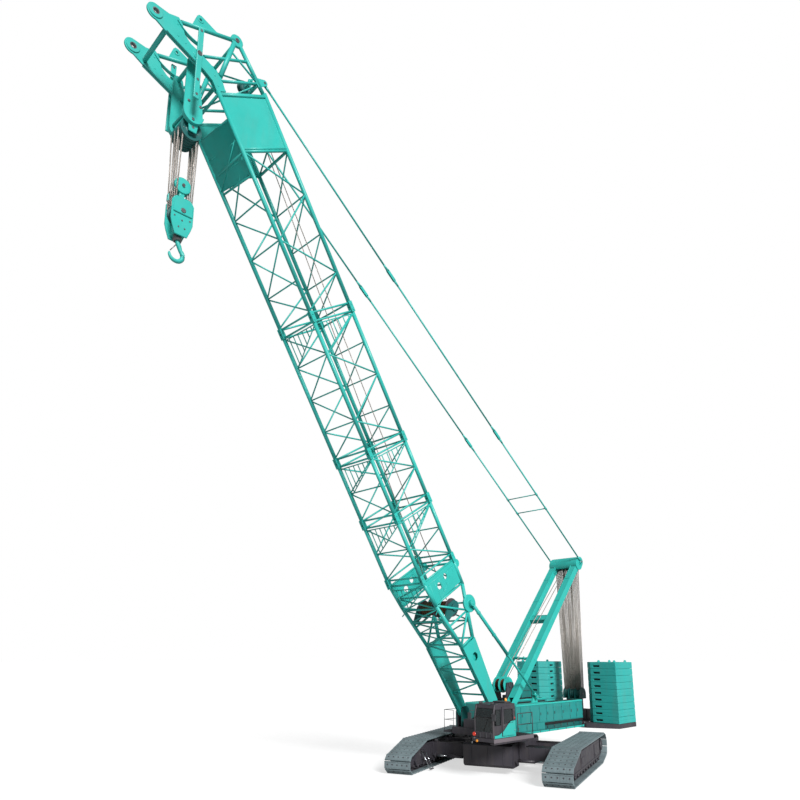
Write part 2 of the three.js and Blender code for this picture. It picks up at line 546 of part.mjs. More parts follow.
function hook() {
  const x = FALLS_X;
  const { top, neck, bowlZ, bowlR, bar: thick } = HOOK;
  const points = [v3(x, 0, top), v3(x, 0, neck), v3(x - 60, 0, bowlZ + 440)];
  for (let i = 0; i <= 8; i += 1) {
    const angle = THREE.MathUtils.degToRad(60 - i * 30);
    points.push(v3(x - bowlR * Math.cos(angle), 0, bowlZ + bowlR * Math.sin(angle)));
  }
  const section = new THREE.Shape(arc(0, 0, thick, 0, 324, 9).map(([a, b]) => new THREE.Vector2(a, b)));
  return solid(new THREE.ExtrudeGeometry(section, { steps: 24, extrudePath: new THREE.CatmullRomCurve3(points) }));
}

function hanging() {
  const group = new THREE.Group();
  node(group, 'sheave_frame', sheaveFrame(), TEAL);
  node(group, 'head_sheaves', sheaves(SHEAVES.z, SHEAVES.r, SHEAVES.half, 6, 75), DARK);
  node(group, 'hook_block', hookBlock(), TEAL);
  node(group, 'hook_block_sheaves', sheaves(HOOK_BLOCK.z, HOOK_BLOCK.r - 20, HOOK_BLOCK.half, 4, 85), DARK);
  node(group, 'hook', hook(), TEAL);
  return group;
}

// ---------------------------------------------------------------- mast, pendants and backstops

// A group whose X axis runs from one point of the XZ plane to another.
function along(from, to) {
  const group = new THREE.Group();
  group.position.set(from.x, 0, from.z);
  group.rotation.y = -Math.atan2(to.z - from.z, to.x - from.x);
  group.userData.length = Math.hypot(to.x - from.x, to.z - from.z);
  return group;
}

function mast() {
  const group = along(MAST.foot, MAST.top);
  const { length } = group.userData;
  const { half, leg, footR, headHalf, headR } = MAST;
  const legEnd = length - 560;
  const outline = [...arc(0, 0, footR, 100, 260, 6), [700, -leg / 2], [legEnd, -leg / 2], [legEnd, leg / 2], [700, leg / 2]];
  const legs = [1, -1].map((side) => plate(outline, side * half - leg / 2, side * half + leg / 2));
  const braces = [block(6000, 6300, -half, half, -130, 130), bar(v3(3300, -half, 0), v3(3300, half, 0), 60, 8)];
  const holes = [1, -1].map((side) => cross(0, 0, side * 450, side * 920, 76, 20));
  node(group, 'mast_frame', join(legs, braces).subtract(join(holes)), TEAL);

  const crown = [...arc(length - 220, 0, headR + 30, 90, 270, 6), ...arc(length, 0, headR, -90, 90, 8)];
  const head = join(plate(crown, -headHalf, headHalf), cross(length, 0, -headHalf - 120, headHalf + 120, 60, 16));
  node(group, 'mast_head', head, TEAL);
  return group;
}

function pendants() {
  const group = along(MAST.top, fromBoom(PENDANT.head.s, PENDANT.head.z));
  const { length } = group.userData;
  const { y, r } = PENDANT;
  const lines = [1, -1].flatMap((side) => {
    const at = side * y;
    const eye = (x) => plate([...arc(x, 0, 130, 0, 330, 11)], at - 20, at + 20, [[x, 0, 66]]);
    const links = [0.34, 0.68].map((part) => block(part * length - 350, part * length + 350, at - 45, at + 45, -75, 75));
    return [eye(0), bar(v3(100, at, 0), v3(length - 100, at, 0), r, 6), eye(length), ...links];
  });
  const spacers = [4400, 5500].map((x) => bar(v3(x, -y, 0), v3(x, y, 0), 32, 6));
  node(group, 'pendants', join(lines, spacers), TEAL);
  return group;
}

function backstops() {
  const top = fromBoom(BACKSTOP.top.s, BACKSTOP.top.z);
  const group = along(top, BACKSTOP.foot);
  const { length } = group.userData;
  const { tube, rod } = BACKSTOP;
  const sleeve = 3600;
  for (const [side, y] of [['left', BACKSTOP.y], ['right', -BACKSTOP.y]]) {
    const tubeBody = join(cross(0, 0, y - 90, y + 90, 150, 16), bar(v3(100, y, 0), v3(sleeve, y, 0), tube, 10))
      .subtract(cross(0, 0, y - 120, y + 120, 66, 16))
      .subtract(bar(v3(500, y, 0), v3(sleeve + 50, y, 0), rod + 12, 10));
    node(group, `backstop_tube_${side}`, tubeBody, TEAL);
    const rodBody = join(bar(v3(1900, y, 0), v3(length - 60, y, 0), rod, 10), cross(length, 0, y - 70, y + 70, 100, 16));
    node(group, `backstop_rod_${side}`, rodBody, TEAL);
  }
  return group;
}

// ---------------------------------------------------------------- the crane

const group = new THREE.Group();
group.position.x = SLEW_OFFSET;
group.add(undercarriage(), upperWorks(), boom(), hanging(), mast(), pendants(), backstops());

export default group;
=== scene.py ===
"""Lattice boom crawler crane: finishes, boom lacing, ropes, crawler shoes, cab trim, counterweight slabs
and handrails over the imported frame."""

import copy
import math

import bmesh
import bpy
from mathutils import Matrix, Vector


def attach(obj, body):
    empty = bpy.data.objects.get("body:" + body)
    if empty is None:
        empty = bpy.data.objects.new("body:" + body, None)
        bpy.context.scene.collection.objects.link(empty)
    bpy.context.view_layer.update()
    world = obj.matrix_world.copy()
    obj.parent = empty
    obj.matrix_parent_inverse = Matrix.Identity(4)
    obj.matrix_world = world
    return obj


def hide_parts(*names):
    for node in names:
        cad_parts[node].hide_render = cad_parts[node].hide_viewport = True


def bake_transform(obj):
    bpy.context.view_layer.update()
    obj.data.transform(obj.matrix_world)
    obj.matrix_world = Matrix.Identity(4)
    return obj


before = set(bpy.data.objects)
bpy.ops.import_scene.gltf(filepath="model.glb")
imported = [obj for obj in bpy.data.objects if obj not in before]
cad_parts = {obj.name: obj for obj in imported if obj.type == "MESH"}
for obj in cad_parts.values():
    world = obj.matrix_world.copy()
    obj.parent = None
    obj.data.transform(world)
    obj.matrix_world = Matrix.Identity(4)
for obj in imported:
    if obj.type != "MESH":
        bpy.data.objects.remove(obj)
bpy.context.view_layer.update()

HERE = Matrix.Identity(4)
TAU = 2 * math.pi
UPRIGHT = Matrix.Rotation(math.pi / 2, 4, "X")

# Everything is drawn from the slewing axis at ground level.
SLEW = Matrix.Translation((-6.632, 0, 0))
CRAWLERS = SLEW @ Matrix.Rotation(math.radians(20), 4, "Z")
BOOM_ANGLE = math.radians(58.2)
BOOM = SLEW @ Matrix.Translation((1.75, 0, 2.64)) @ Matrix.Rotation(-BOOM_ANGLE, 4, "Y")
JOINTS = (7.74, 10.79, 13.84, 19.94, 29.1)
HALF, DEPTH = 1.07, 1.2
CHORD, LACING = 0.088, 0.036
FALLS_X = 18.75
FALLS = SLEW @ Matrix.Translation((FALLS_X, 0, 0))
HORN_Y, SEAT_Y = 1.0, 1.95


def run_frame(start, end):
    """Frame whose X axis runs from start to end in the upright plane of the boom, both as (x, z)."""
    angle = math.atan2(end[1] - start[1], end[0] - start[0])
    return SLEW @ Matrix.Translation((start[0], 0, start[1])) @ Matrix.Rotation(-angle, 4, "Y")


MAST_FOOT, MAST_TOP = (0.35, 2.75), (-6.9, 10.75)
MAST = run_frame(MAST_FOOT, MAST_TOP)
MAST_LENGTH = math.dist(MAST_FOOT, MAST_TOP)


def flat(point):
    return (point.x - SLEW.translation.x, point.z)


PENDANT_END = flat(BOOM @ Vector((29.58, 0, 1.5)))
PENDANTS = run_frame(MAST_TOP, PENDANT_END)
PENDANT_LENGTH = math.dist(MAST_TOP, PENDANT_END)
BACKSTOP_TOP = flat(BOOM @ Vector((5.38, 0, 1.04)))
BACKSTOP_FOOT = (-1.25, 3.31)
BACKSTOP = run_frame(BACKSTOP_TOP, BACKSTOP_FOOT)
BACKSTOP_LENGTH = math.dist(BACKSTOP_TOP, BACKSTOP_FOOT)
PIVOT_X, PIVOT_Z = flat(BOOM @ Vector((30.45, 0, -1.42)))


# ------------------------------------------------------------------ finishes


def srgb(red, green, blue):
    def linear(c):
        c /= 255
        return c / 12.92 if c <= 0.04045 else ((c + 0.055) / 1.055) ** 2.4

    return (linear(red), linear(green), linear(blue), 1)


def feed(tree, node, **values):
    """Sets inputs of a node; a value that comes out of another node is linked."""
    for name, value in values.items():
        socket = node.inputs[name.replace("_", " ")]
        if isinstance(value, bpy.types.NodeSocket):
            tree.links.new(value, socket)
        else:
            socket.default_value = value
    return node


def shader_node(tree, kind, **values):
    return feed(tree, tree.nodes.new("ShaderNode" + kind), **values)


def spot(tree):
    return shader_node(tree, "TexCoord").outputs["Object"]


def joined(tree, kind, first, second, **values):
    """Two shaders mixed or added together."""
    both = shader_node(tree, kind, **values)
    for source, socket in zip((first, second), both.inputs[-2:]):
        tree.links.new(source, socket)
    return both.outputs["Shader"]


def shader(name, roughness=0.5, metallic=0.0, coat=0.0):
    material = bpy.data.materials.new(name)
    material.use_nodes = True
    tree = material.node_tree
    surface = feed(tree, tree.nodes["Principled BSDF"], Roughness=roughness, Metallic=metallic,
                   Coat_Weight=coat, Coat_Roughness=0.15)
    return material, tree, surface


def grain(tree, scale, detail=4.0, stretch=(1, 1, 1)):
    """Noise over the piece, finer with scale, drawn out along any axis whose stretch is below one."""
    mapping = shader_node(tree, "Mapping", Scale=stretch, Vector=spot(tree))
    return shader_node(tree, "TexNoise", Scale=scale, Detail=detail,
                       Vector=mapping.outputs["Vector"]).outputs["Fac"]


def steps(tree, factor, *stops):
    """Colour ramp over a factor; each stop is (position, colour)."""
    ramp = shader_node(tree, "ValToRGB", Fac=factor)
    points = ramp.color_ramp.elements
    while len(points) < len(stops):
        points.new(0.5)
    for point, (position, colour) in zip(points, stops):
        point.position = position
        point.color = colour
    return ramp.outputs["Color"]


def grey(value):
    return (value, value, value, 1)


def over(tree, factor, below, above):
    """One colour laid over another as far as the factor lets it."""
    mix = shader_node(tree, "Mix", Factor=factor)
    mix.data_type = "RGBA"
    for socket, value in (("A", below), ("B", above)):
        target = next(i for i in mix.inputs if i.name == socket and i.type == "RGBA")
        if isinstance(value, tuple):
            target.default_value = value
        else:
            tree.links.new(value, target)
    return next(o for o in mix.outputs if o.type == "RGBA")


def relief(tree, surface, height, depth, strength=0.4):
    bump = shader_node(tree, "Bump", Strength=strength, Distance=depth, Height=height)
    feed(tree, surface, Normal=bump.outputs["Normal"])


def tint(colour, factor):
    return tuple(min(1, c * factor) for c in colour[:3]) + (1,)


def machine_paint(name, colour, roughness=0.42, coat=0.08, dust=0.1):
    """Sprayed paint: slight shade changes, thin dust, faint runs down the plates and a fine orange-peel."""
    material, tree, surface = shader(name, roughness, 0.0, coat)
    shade = steps(tree, grain(tree, 0.9), (0.3, tint(colour, 0.93)), (0.7, tint(colour, 1.05)))
    runs = steps(tree, grain(tree, 3.0, 6, (1, 1, 0.18)), (0.5, grey(0)), (0.75, grey(dust)))
    chips = steps(tree, grain(tree, 9.0, 8), (0.735, grey(0)), (0.75, grey(0.55)))
    base = over(tree, chips, over(tree, runs, shade, srgb(128, 118, 104)), tint(colour, 0.45))
    gloss = steps(tree, grain(tree, 2.2, 5), (0.3, grey(roughness - 0.06)), (0.7, grey(roughness + 0.12)))
    feed(tree, surface, Base_Color=base, Roughness=gloss)
    relief(tree, surface, grain(tree, 55.0, 2), 0.002, 0.25)
    return material


def worn_steel(name, colour, bright, roughness=0.5, metallic=0.55, scale=6.0, cover=0.56):
    """Bare or worn steel: brighter where it is scuffed, duller and rougher between."""
    material, tree, surface = shader(name, roughness, metallic)
    wear = steps(tree, grain(tree, scale, 8), (cover, grey(0)), (cover + 0.12, grey(0.8)))
    shade = steps(tree, grain(tree, 1.6), (0.3, tint(colour, 0.82)), (0.7, tint(colour, 1.12)))
    gloss = steps(tree, grain(tree, scale, 8), (0.4, grey(roughness + 0.12)), (0.7, grey(roughness - 0.12)))
    feed(tree, surface, Base_Color=over(tree, wear, shade, bright), Roughness=gloss)
    relief(tree, surface, grain(tree, 24.0, 6), 0.004, 0.35)
    return material


def rope_finish(name, colour, dark, turns, axis="Z"):
    """Wire rope or a coil of it: narrow strands with dark lines between, side by side along axis."""
    material, tree, surface = shader(name, 0.45, 0.6)
    wave = shader_node(tree, "TexWave", Scale=turns, Distortion=0.4, Vector=spot(tree))
    wave.bands_direction = axis
    strands = steps(tree, wave.outputs["Fac"], (0.15, dark), (0.6, colour))
    grime = steps(tree, grain(tree, 5.0, 6), (0.45, grey(0)), (0.7, grey(0.4)))
    feed(tree, surface, Base_Color=over(tree, grime, strands, tint(dark, 1.3)))
    relief(tree, surface, wave.outputs["Fac"], 0.006, 0.7)
    return material


def moulded(name, colour, roughness=0.6, scale=60.0):
    """Moulded plastic or rubber: a little mottled, with a fine pebble grain."""
    material, tree, surface = shader(name, roughness)
    base = steps(tree, grain(tree, 4.0), (0.3, tint(colour, 0.8)), (0.7, tint(colour, 1.25)))
    feed(tree, surface, Base_Color=base)
    relief(tree, surface, grain(tree, scale, 3), 0.0015, 0.3)
    return material


def tinted_glass():
    """Smoked cab glass with faint smears."""
    material, tree, surface = shader("tinted_glass", 0.04, 0.0, 0.3)
    smears = steps(tree, grain(tree, 1.5, 5), (0.35, srgb(66, 80, 84)), (0.7, srgb(84, 98, 100)))
    gloss = steps(tree, grain(tree, 7.0, 6), (0.4, grey(0.03)), (0.75, grey(0.12)))
    feed(tree, surface, Transmission_Weight=0.82, IOR=1.45, Base_Color=smears, Roughness=gloss)
    return material


def seat_cloth():
    """Woven seat cover: crossing threads with a little sheen."""
    material, tree, surface = shader("seat_cloth", 0.9)
    weave = shader_node(tree, "TexVoronoi", Scale=160, Vector=spot(tree)).outputs["Distance"]
    threads = steps(tree, weave, (0.2, srgb(52, 53, 56)), (0.7, srgb(26, 27, 30)))
    feed(tree, surface, Sheen_Weight=0.3, Base_Color=threads)
    relief(tree, surface, weave, 0.0015, 0.6)
    return material


def lamp_lens(name, colour):
    """Ribbed lamp glass that glows a little."""
    material, tree, surface = shader(name, 0.15, 0.0, 0.5)
    ribs = steps(tree, grain(tree, 40.0, 2, (1, 1, 4)), (0.35, tint(colour, 0.7)), (0.65, tint(colour, 1.2)))
    feed(tree, surface, Base_Color=ribs, Emission_Color=ribs, Emission_Strength=0.25)
    relief(tree, surface, grain(tree, 80.0, 2, (1, 1, 4)), 0.002, 0.4)
    return material


TEAL = machine_paint("teal_gloss_paint", srgb(44, 182, 172))
# Deep teal: paint of the sheaves, cradle, ears and spreader, and also painted shade on the cabinets' recessed
# sill.
DEEP_TEAL_AND_SHADE = machine_paint("deep_teal_paint_and_painted_shade", srgb(16, 96, 94), 0.45, 0.1)
SLAB = machine_paint("teal_slab_paint", srgb(44, 172, 166), 0.5, 0.05, 0.14)
# Lighter copy of the teal for the belly plates: painted light on plates that face away from the key light.
BELLY_LIT_TEAL = machine_paint("belly_plate_teal_painted_light", srgb(60, 208, 200))
SKIRT = machine_paint("skirt_paint", srgb(116, 108, 114))
# Darker copy of the teal for the cabinet walls and doors: painted shade.
SIDES_SHADED_TEAL = machine_paint("house_side_teal_painted_shade", srgb(38, 142, 138))
# Charcoal paint for the machine's dark parts; also used as painted shade for the crawler shoes' bolt recesses
# and inner face.
CHARCOAL_AND_SHADE = machine_paint("charcoal_paint_and_painted_shade", srgb(61, 58, 65), 0.5, 0.08, 0.14)
SHOE = worn_steel("crawler_shoe_steel", srgb(120, 135, 139), srgb(152, 166, 170), 0.55, 0.15, 14.0, 0.6)
BARE = worn_steel("machined_steel", srgb(120, 122, 124), srgb(190, 192, 194), 0.35, 0.9)
CHROME = worn_steel("polished_rod", srgb(196, 200, 204), srgb(232, 234, 236), 0.18, 1.0)
ROPE = rope_finish("steel_rope", srgb(206, 198, 190), srgb(140, 132, 126), 90)
COIL = rope_finish("greased_rope_coil", srgb(142, 96, 66), srgb(48, 28, 18), 14, "Y")
GLASS = tinted_glass()
# Black rubber for seals, beads, hoses and grates; also black used as painted shade and shadow in the cabinet
# sill, on the right cabinet's inner wall and at the back of the weight slots.
BLACK_RUBBER_AND_SHADE = moulded("black_rubber_and_painted_shade", srgb(26, 26, 28), 0.75)
PLASTIC = moulded("cab_plastic", srgb(62, 62, 66), 0.55, 90)
CLOTH = seat_cloth()
RED = lamp_lens("red_lens", srgb(206, 52, 30))
AMBER = lamp_lens("amber_lens", srgb(236, 150, 40))
GRATING = worn_steel("walkway_steel", srgb(70, 70, 74), srgb(128, 130, 132), 0.6, 0.4, 18)


# ------------------------------------------------------------------ shapes


def placed(name, data):
    """A new object in the scene."""
    obj = bpy.data.objects.new(name, data)
    bpy.context.scene.collection.objects.link(obj)
    return obj


class Part:
    """A piece being built out of small shapes, each drawn in the frame called place."""

    def __init__(self, place=SLEW):
        self.bm = bmesh.new()
        self.place = place

    def at(self, place):
        """The same piece, drawn in another frame."""
        other = copy.copy(self)
        other.place = place
        return other

    def add(self, shape, paint=0, smooth=None, stand=None):
        """Puts a small shape into the piece; smooth picks the faces that are shaded round."""
        shape.normal_update()
        for face in shape.faces:
            face.material_index = paint
            face.smooth = bool(smooth and smooth(face))
        self.repeat(shape, [stand or self.place])

    def repeat(self, shape, places):
        """Copies of one finished shape, one at each place."""
        mesh = bpy.data.meshes.new("shape")
        shape.to_mesh(mesh)
        shape.free()
        for place in places:
            copied = mesh.copy()
            copied.transform(place)
            self.bm.from_mesh(copied)
            bpy.data.meshes.remove(copied)
        bpy.data.meshes.remove(mesh)

    def mirror(self):
        """Adds the other side's copy of all that is in the piece so far."""
        made = bmesh.ops.duplicate(self.bm, geom=self.bm.faces[:])["geom"]
        across = self.place @ Matrix.Diagonal((1, -1, 1, 1)) @ self.place.inverted()
        bmesh.ops.transform(self.bm, matrix=across,
                            verts=[g for g in made if isinstance(g, bmesh.types.BMVert)])
        bmesh.ops.reverse_faces(self.bm, faces=[g for g in made if isinstance(g, bmesh.types.BMFace)])

    def bar(self, start, end, radius, sides=8, paint=0, tip=None):
        """Round bar from start to end, narrowing to tip if it has one."""
        start, end = self.place @ Vector(start), self.place @ Vector(end)
        run = end - start
        shape = bmesh.new()
        bmesh.ops.create_cone(shape, cap_ends=True, segments=sides, radius1=radius, radius2=tip or radius,
                              depth=run.length, matrix=Matrix.Rotation(math.pi / sides, 4, "Z"))
        stand = Matrix.Translation((start + end) / 2) @ run.to_track_quat("Z", "Y").to_matrix().to_4x4()
        self.add(shape, paint, lambda f: abs(f.normal.z) < 0.9, stand)

    def block(self, corner, opposite, edge=0.0, paint=0):
        """Plate or box between two opposite corners, with its edges broken."""
        low, high = (Vector(map(pick, corner, opposite)) for pick in (min, max))
        shape = bmesh.new()
        stand = Matrix.Translation((low + high) / 2) @ Matrix.Diagonal((*(high - low), 1))
        bmesh.ops.create_cube(shape, size=1, matrix=stand)
        rounded(shape, edge)
        self.add(shape, paint)

    def plate(self, outline, y0, y1, edge=0.0, holes=()):
        """Flat plate with an (x, z) outline and round holes, between y0 and y1."""
        shape = bmesh.new()
        ring = [shape.verts.new((x, y0, z)) for x, z in outline]
        rim = [shape.edges.new((ring[i - 1], ring[i])) for i in range(len(ring))]
        for x, z, radius in holes:
            turn = Matrix.Translation((x, y0, z)) @ UPRIGHT
            circle = bmesh.ops.create_circle(shape, cap_ends=False, segments=20, radius=radius,
                                             matrix=turn)["verts"]
            rim += list({e for v in circle for e in v.link_edges})
        if holes:
            bmesh.ops.triangle_fill(shape, use_beauty=True, use_dissolve=False, edges=rim)
        else:
            bmesh.ops.contextual_create(shape, geom=rim)
        raised = bmesh.ops.extrude_face_region(shape, geom=shape.faces[:])["geom"]
        bmesh.ops.translate(shape, vec=(0, y1 - y0, 0),
                            verts=[g for g in raised if isinstance(g, bmesh.types.BMVert)])
        bmesh.ops.recalc_face_normals(shape, faces=shape.faces[:])
        if not holes:
            rounded(shape, edge, 1)
        self.add(shape)

    def slab(self, outline, z0, z1, edge=0.0):
        """Flat slab with an (x, y) outline, between z0 and z1."""
        self.at(self.place @ UPRIGHT.inverted()).plate(outline, -z1, -z0, edge)

    def turned(self, profile, centre=(0, 0), segments=28, paint=0):
        """Turned piece about an axis along Y through centre (x, z): the profile is (radius, y) pairs."""
        shape = bmesh.new()
        x, z = centre
        line = [shape.verts.new((x + r, y, z)) for r, y in profile]
        edges = [shape.edges.new(pair) for pair in zip(line, line[1:])]
        bmesh.ops.spin(shape, geom=line + edges, cent=(x, 0, z), axis=(0, 1, 0), angle=TAU, steps=segments,
                       use_merge=True, use_normal_flip=False, use_duplicate=False, dvec=(0, 0, 0))
        bmesh.ops.remove_doubles(shape, verts=shape.verts[:], dist=1e-5)
        bmesh.ops.recalc_face_normals(shape, faces=shape.faces[:])
        self.add(shape, paint, lambda f: abs(f.normal.y) < 0.8)

    def disc(self, centre, y0, y1, radius, bore=0.0, edge=0.012, paint=0, segments=28):
        """Round boss or wheel with broken edges, and a bore if it has one."""
        profile = [(bore, y0), (radius - edge, y0), (radius, y0 + edge), (radius, y1 - edge),
                   (radius - edge, y1), (bore, y1)]
        self.turned(profile + profile[:1] * bool(bore), centre, segments, paint)

    def sheaves(self, centre, radius, half, count, bore):
        """Grooved rope sheaves side by side on one shaft, from -half to half across."""
        pitch = 2 * half / count
        hub = [(bore, 0.1), (bore + 0.1, 0.1), (bore + 0.12, 0.3), (radius - 0.13, 0.3), (radius - 0.09, 0.1),
               (radius, 0.1), (radius, 0.16)]
        profile = hub + [(radius - 0.06, 0.5)] + [(r, 1 - y) for r, y in reversed(hub)] + hub[:1]
        sheave = Part(HERE)
        sheave.turned([(r, y * pitch) for r, y in profile], centre, 32)
        self.repeat(sheave.bm,
                    [self.place @ Matrix.Translation((0, i * pitch - half, 0)) for i in range(count)])

    def swept(self, points, radii, sides=12):
        """Round section drawn along a line of points, with a radius at each."""
        shape = bmesh.new()
        points = [Vector(p) for p in points]
        last = len(points) - 1

        def stand(i):
            run = points[min(i + 1, last)] - points[max(i - 1, 0)]
            turn = run.to_track_quat("Z", "Y").to_matrix().to_4x4()
            return Matrix.Translation(points[i]) @ turn @ Matrix.Diagonal((radii[i], radii[i], 1, 1))

        ring = bmesh.ops.create_circle(shape, cap_ends=True, segments=sides, radius=1,
                                       matrix=stand(0))["verts"]
        edges = list({e for v in ring for e in v.link_edges})
        for i in range(1, last + 1):
            grown = bmesh.ops.extrude_edge_only(shape, edges=edges)["geom"]
            ring = [g for g in grown if isinstance(g, bmesh.types.BMVert)]
            edges = [g for g in grown if isinstance(g, bmesh.types.BMEdge)
                     and all(v in ring for v in g.verts)]
            bmesh.ops.transform(shape, matrix=stand(i) @ stand(i - 1).inverted(), verts=ring)
        bmesh.ops.contextual_create(shape, geom=edges)
        bmesh.ops.recalc_face_normals(shape, faces=shape.faces[:])
        self.add(shape, 0, lambda f: len(f.verts) == 4)

    def rail(self, points, radius=0.021, paint=0):
        """Handrail pipe through the points, with a small ball at each bend."""
        for start, end in zip(points, points[1:]):
            self.bar(start, end, radius, paint=paint)
        for point in points[1:-1]:
            ball = bmesh.new()
            bmesh.ops.create_icosphere(ball, subdivisions=1, radius=radius * 1.05)
            self.add(ball, paint, lambda f: True, self.place @ Matrix.Translation(point))

    def finish(self, name, body, finishes, slot, replaces=()):
        """Turns what has been built into a finished piece that rides on body."""
        mesh = bpy.data.meshes.new(name)
        self.bm.to_mesh(mesh)
        self.bm.free()
        for material in finishes:
            mesh.materials.append(material)
        obj = placed(name, mesh)
        if body:
            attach(obj, body)
        if replaces:
            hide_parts(*replaces)
        return obj


def rounded(shape, edge, segments=2):
    if edge:
        bmesh.ops.bevel(shape, geom=shape.edges[:], offset=edge, offset_type="OFFSET", segments=segments,
                        profile=0.5, affect="EDGES", clamp_overlap=True, material=-1)


def upright(x, y):
    """Place for a turned piece whose axis stands up through (x, y): its profile heights are along Z."""
    return SLEW @ Matrix.Translation((x, y, 0)) @ UPRIGHT


def refinish(name, material):
    """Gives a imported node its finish."""
    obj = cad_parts[name]
    obj.data.materials.clear()
    obj.data.materials.append(material)


def arc(x, z, radius, start, end, count):
    """Points round an arc, with its angles in degrees."""
    angles = [math.radians(start + (end - start) * i / count) for i in range(count + 1)]
    return [(x + radius * math.cos(a), z + radius * math.sin(a)) for a in angles]


def ring(x, z, radius, count):
    """Points spaced evenly round a circle."""
    return arc(x, z, radius, 0, 360, count)[1:]


def oblong(x0, z0, x1, z1):
    return [(x0, z0), (x1, z0), (x1, z1), (x0, z1)]


def shifted(line, dx, dz):
    return [(x + dx, z + dz) for x, z in line]


def shrunk(line, centre, share):
    """The line drawn in towards a centre."""
    return [tuple(c + (p - c) * share for p, c in zip(point, centre)) for point in line]


def band(part, line, inner, y0, y1):
    """Narrow plates laid end to end between two lines of (x, z) points."""
    for corners in zip(line, line[1:], inner[1:], inner):
        part.plate(corners, y0, y1)


# ------------------------------------------------------------------ crawlers and undercarriage

GAUGE, TRACK_WIDTH = 3.69, 1.32
IDLER, SPROCKET = (4.04, 0.45, 0.45), (-3.89, 0.8, 0.6)
BEAMS = (-0.95, 0.95)


def track_line(inset):
    """The chain loop as points, drawn inwards by inset."""
    return ([(-2.9, inset), (3.95, inset)] + arc(*IDLER[:2], IDLER[2] - inset, -80, 70, 14)
            + [(2.4, 1.4 - inset)] + arc(*SPROCKET[:2], SPROCKET[2] - inset, 90, 255, 16))


def walk(line, count):
    """Evenly spaced places round a closed line, X along it and Z inwards."""
    legs = [(Vector(a), Vector(b)) for a, b in zip(line, line[1:] + line[:1])]
    total = sum((b - a).length for a, b in legs)
    places, travelled, index = [], 0.0, 0
    for i in range(count):
        target = total * (i + 0.5) / count
        while travelled + (legs[index][1] - legs[index][0]).length < target:
            travelled += (legs[index][1] - legs[index][0]).length
            index += 1
        start, end = legs[index]
        run = (end - start).normalized()
        spot = start + run * (target - travelled)
        angle = math.atan2(run.y, run.x)
        places.append(Matrix.Translation((spot.x, 0, spot.y)) @ Matrix.Rotation(-angle, 4, "Y"))
    return places, total / count


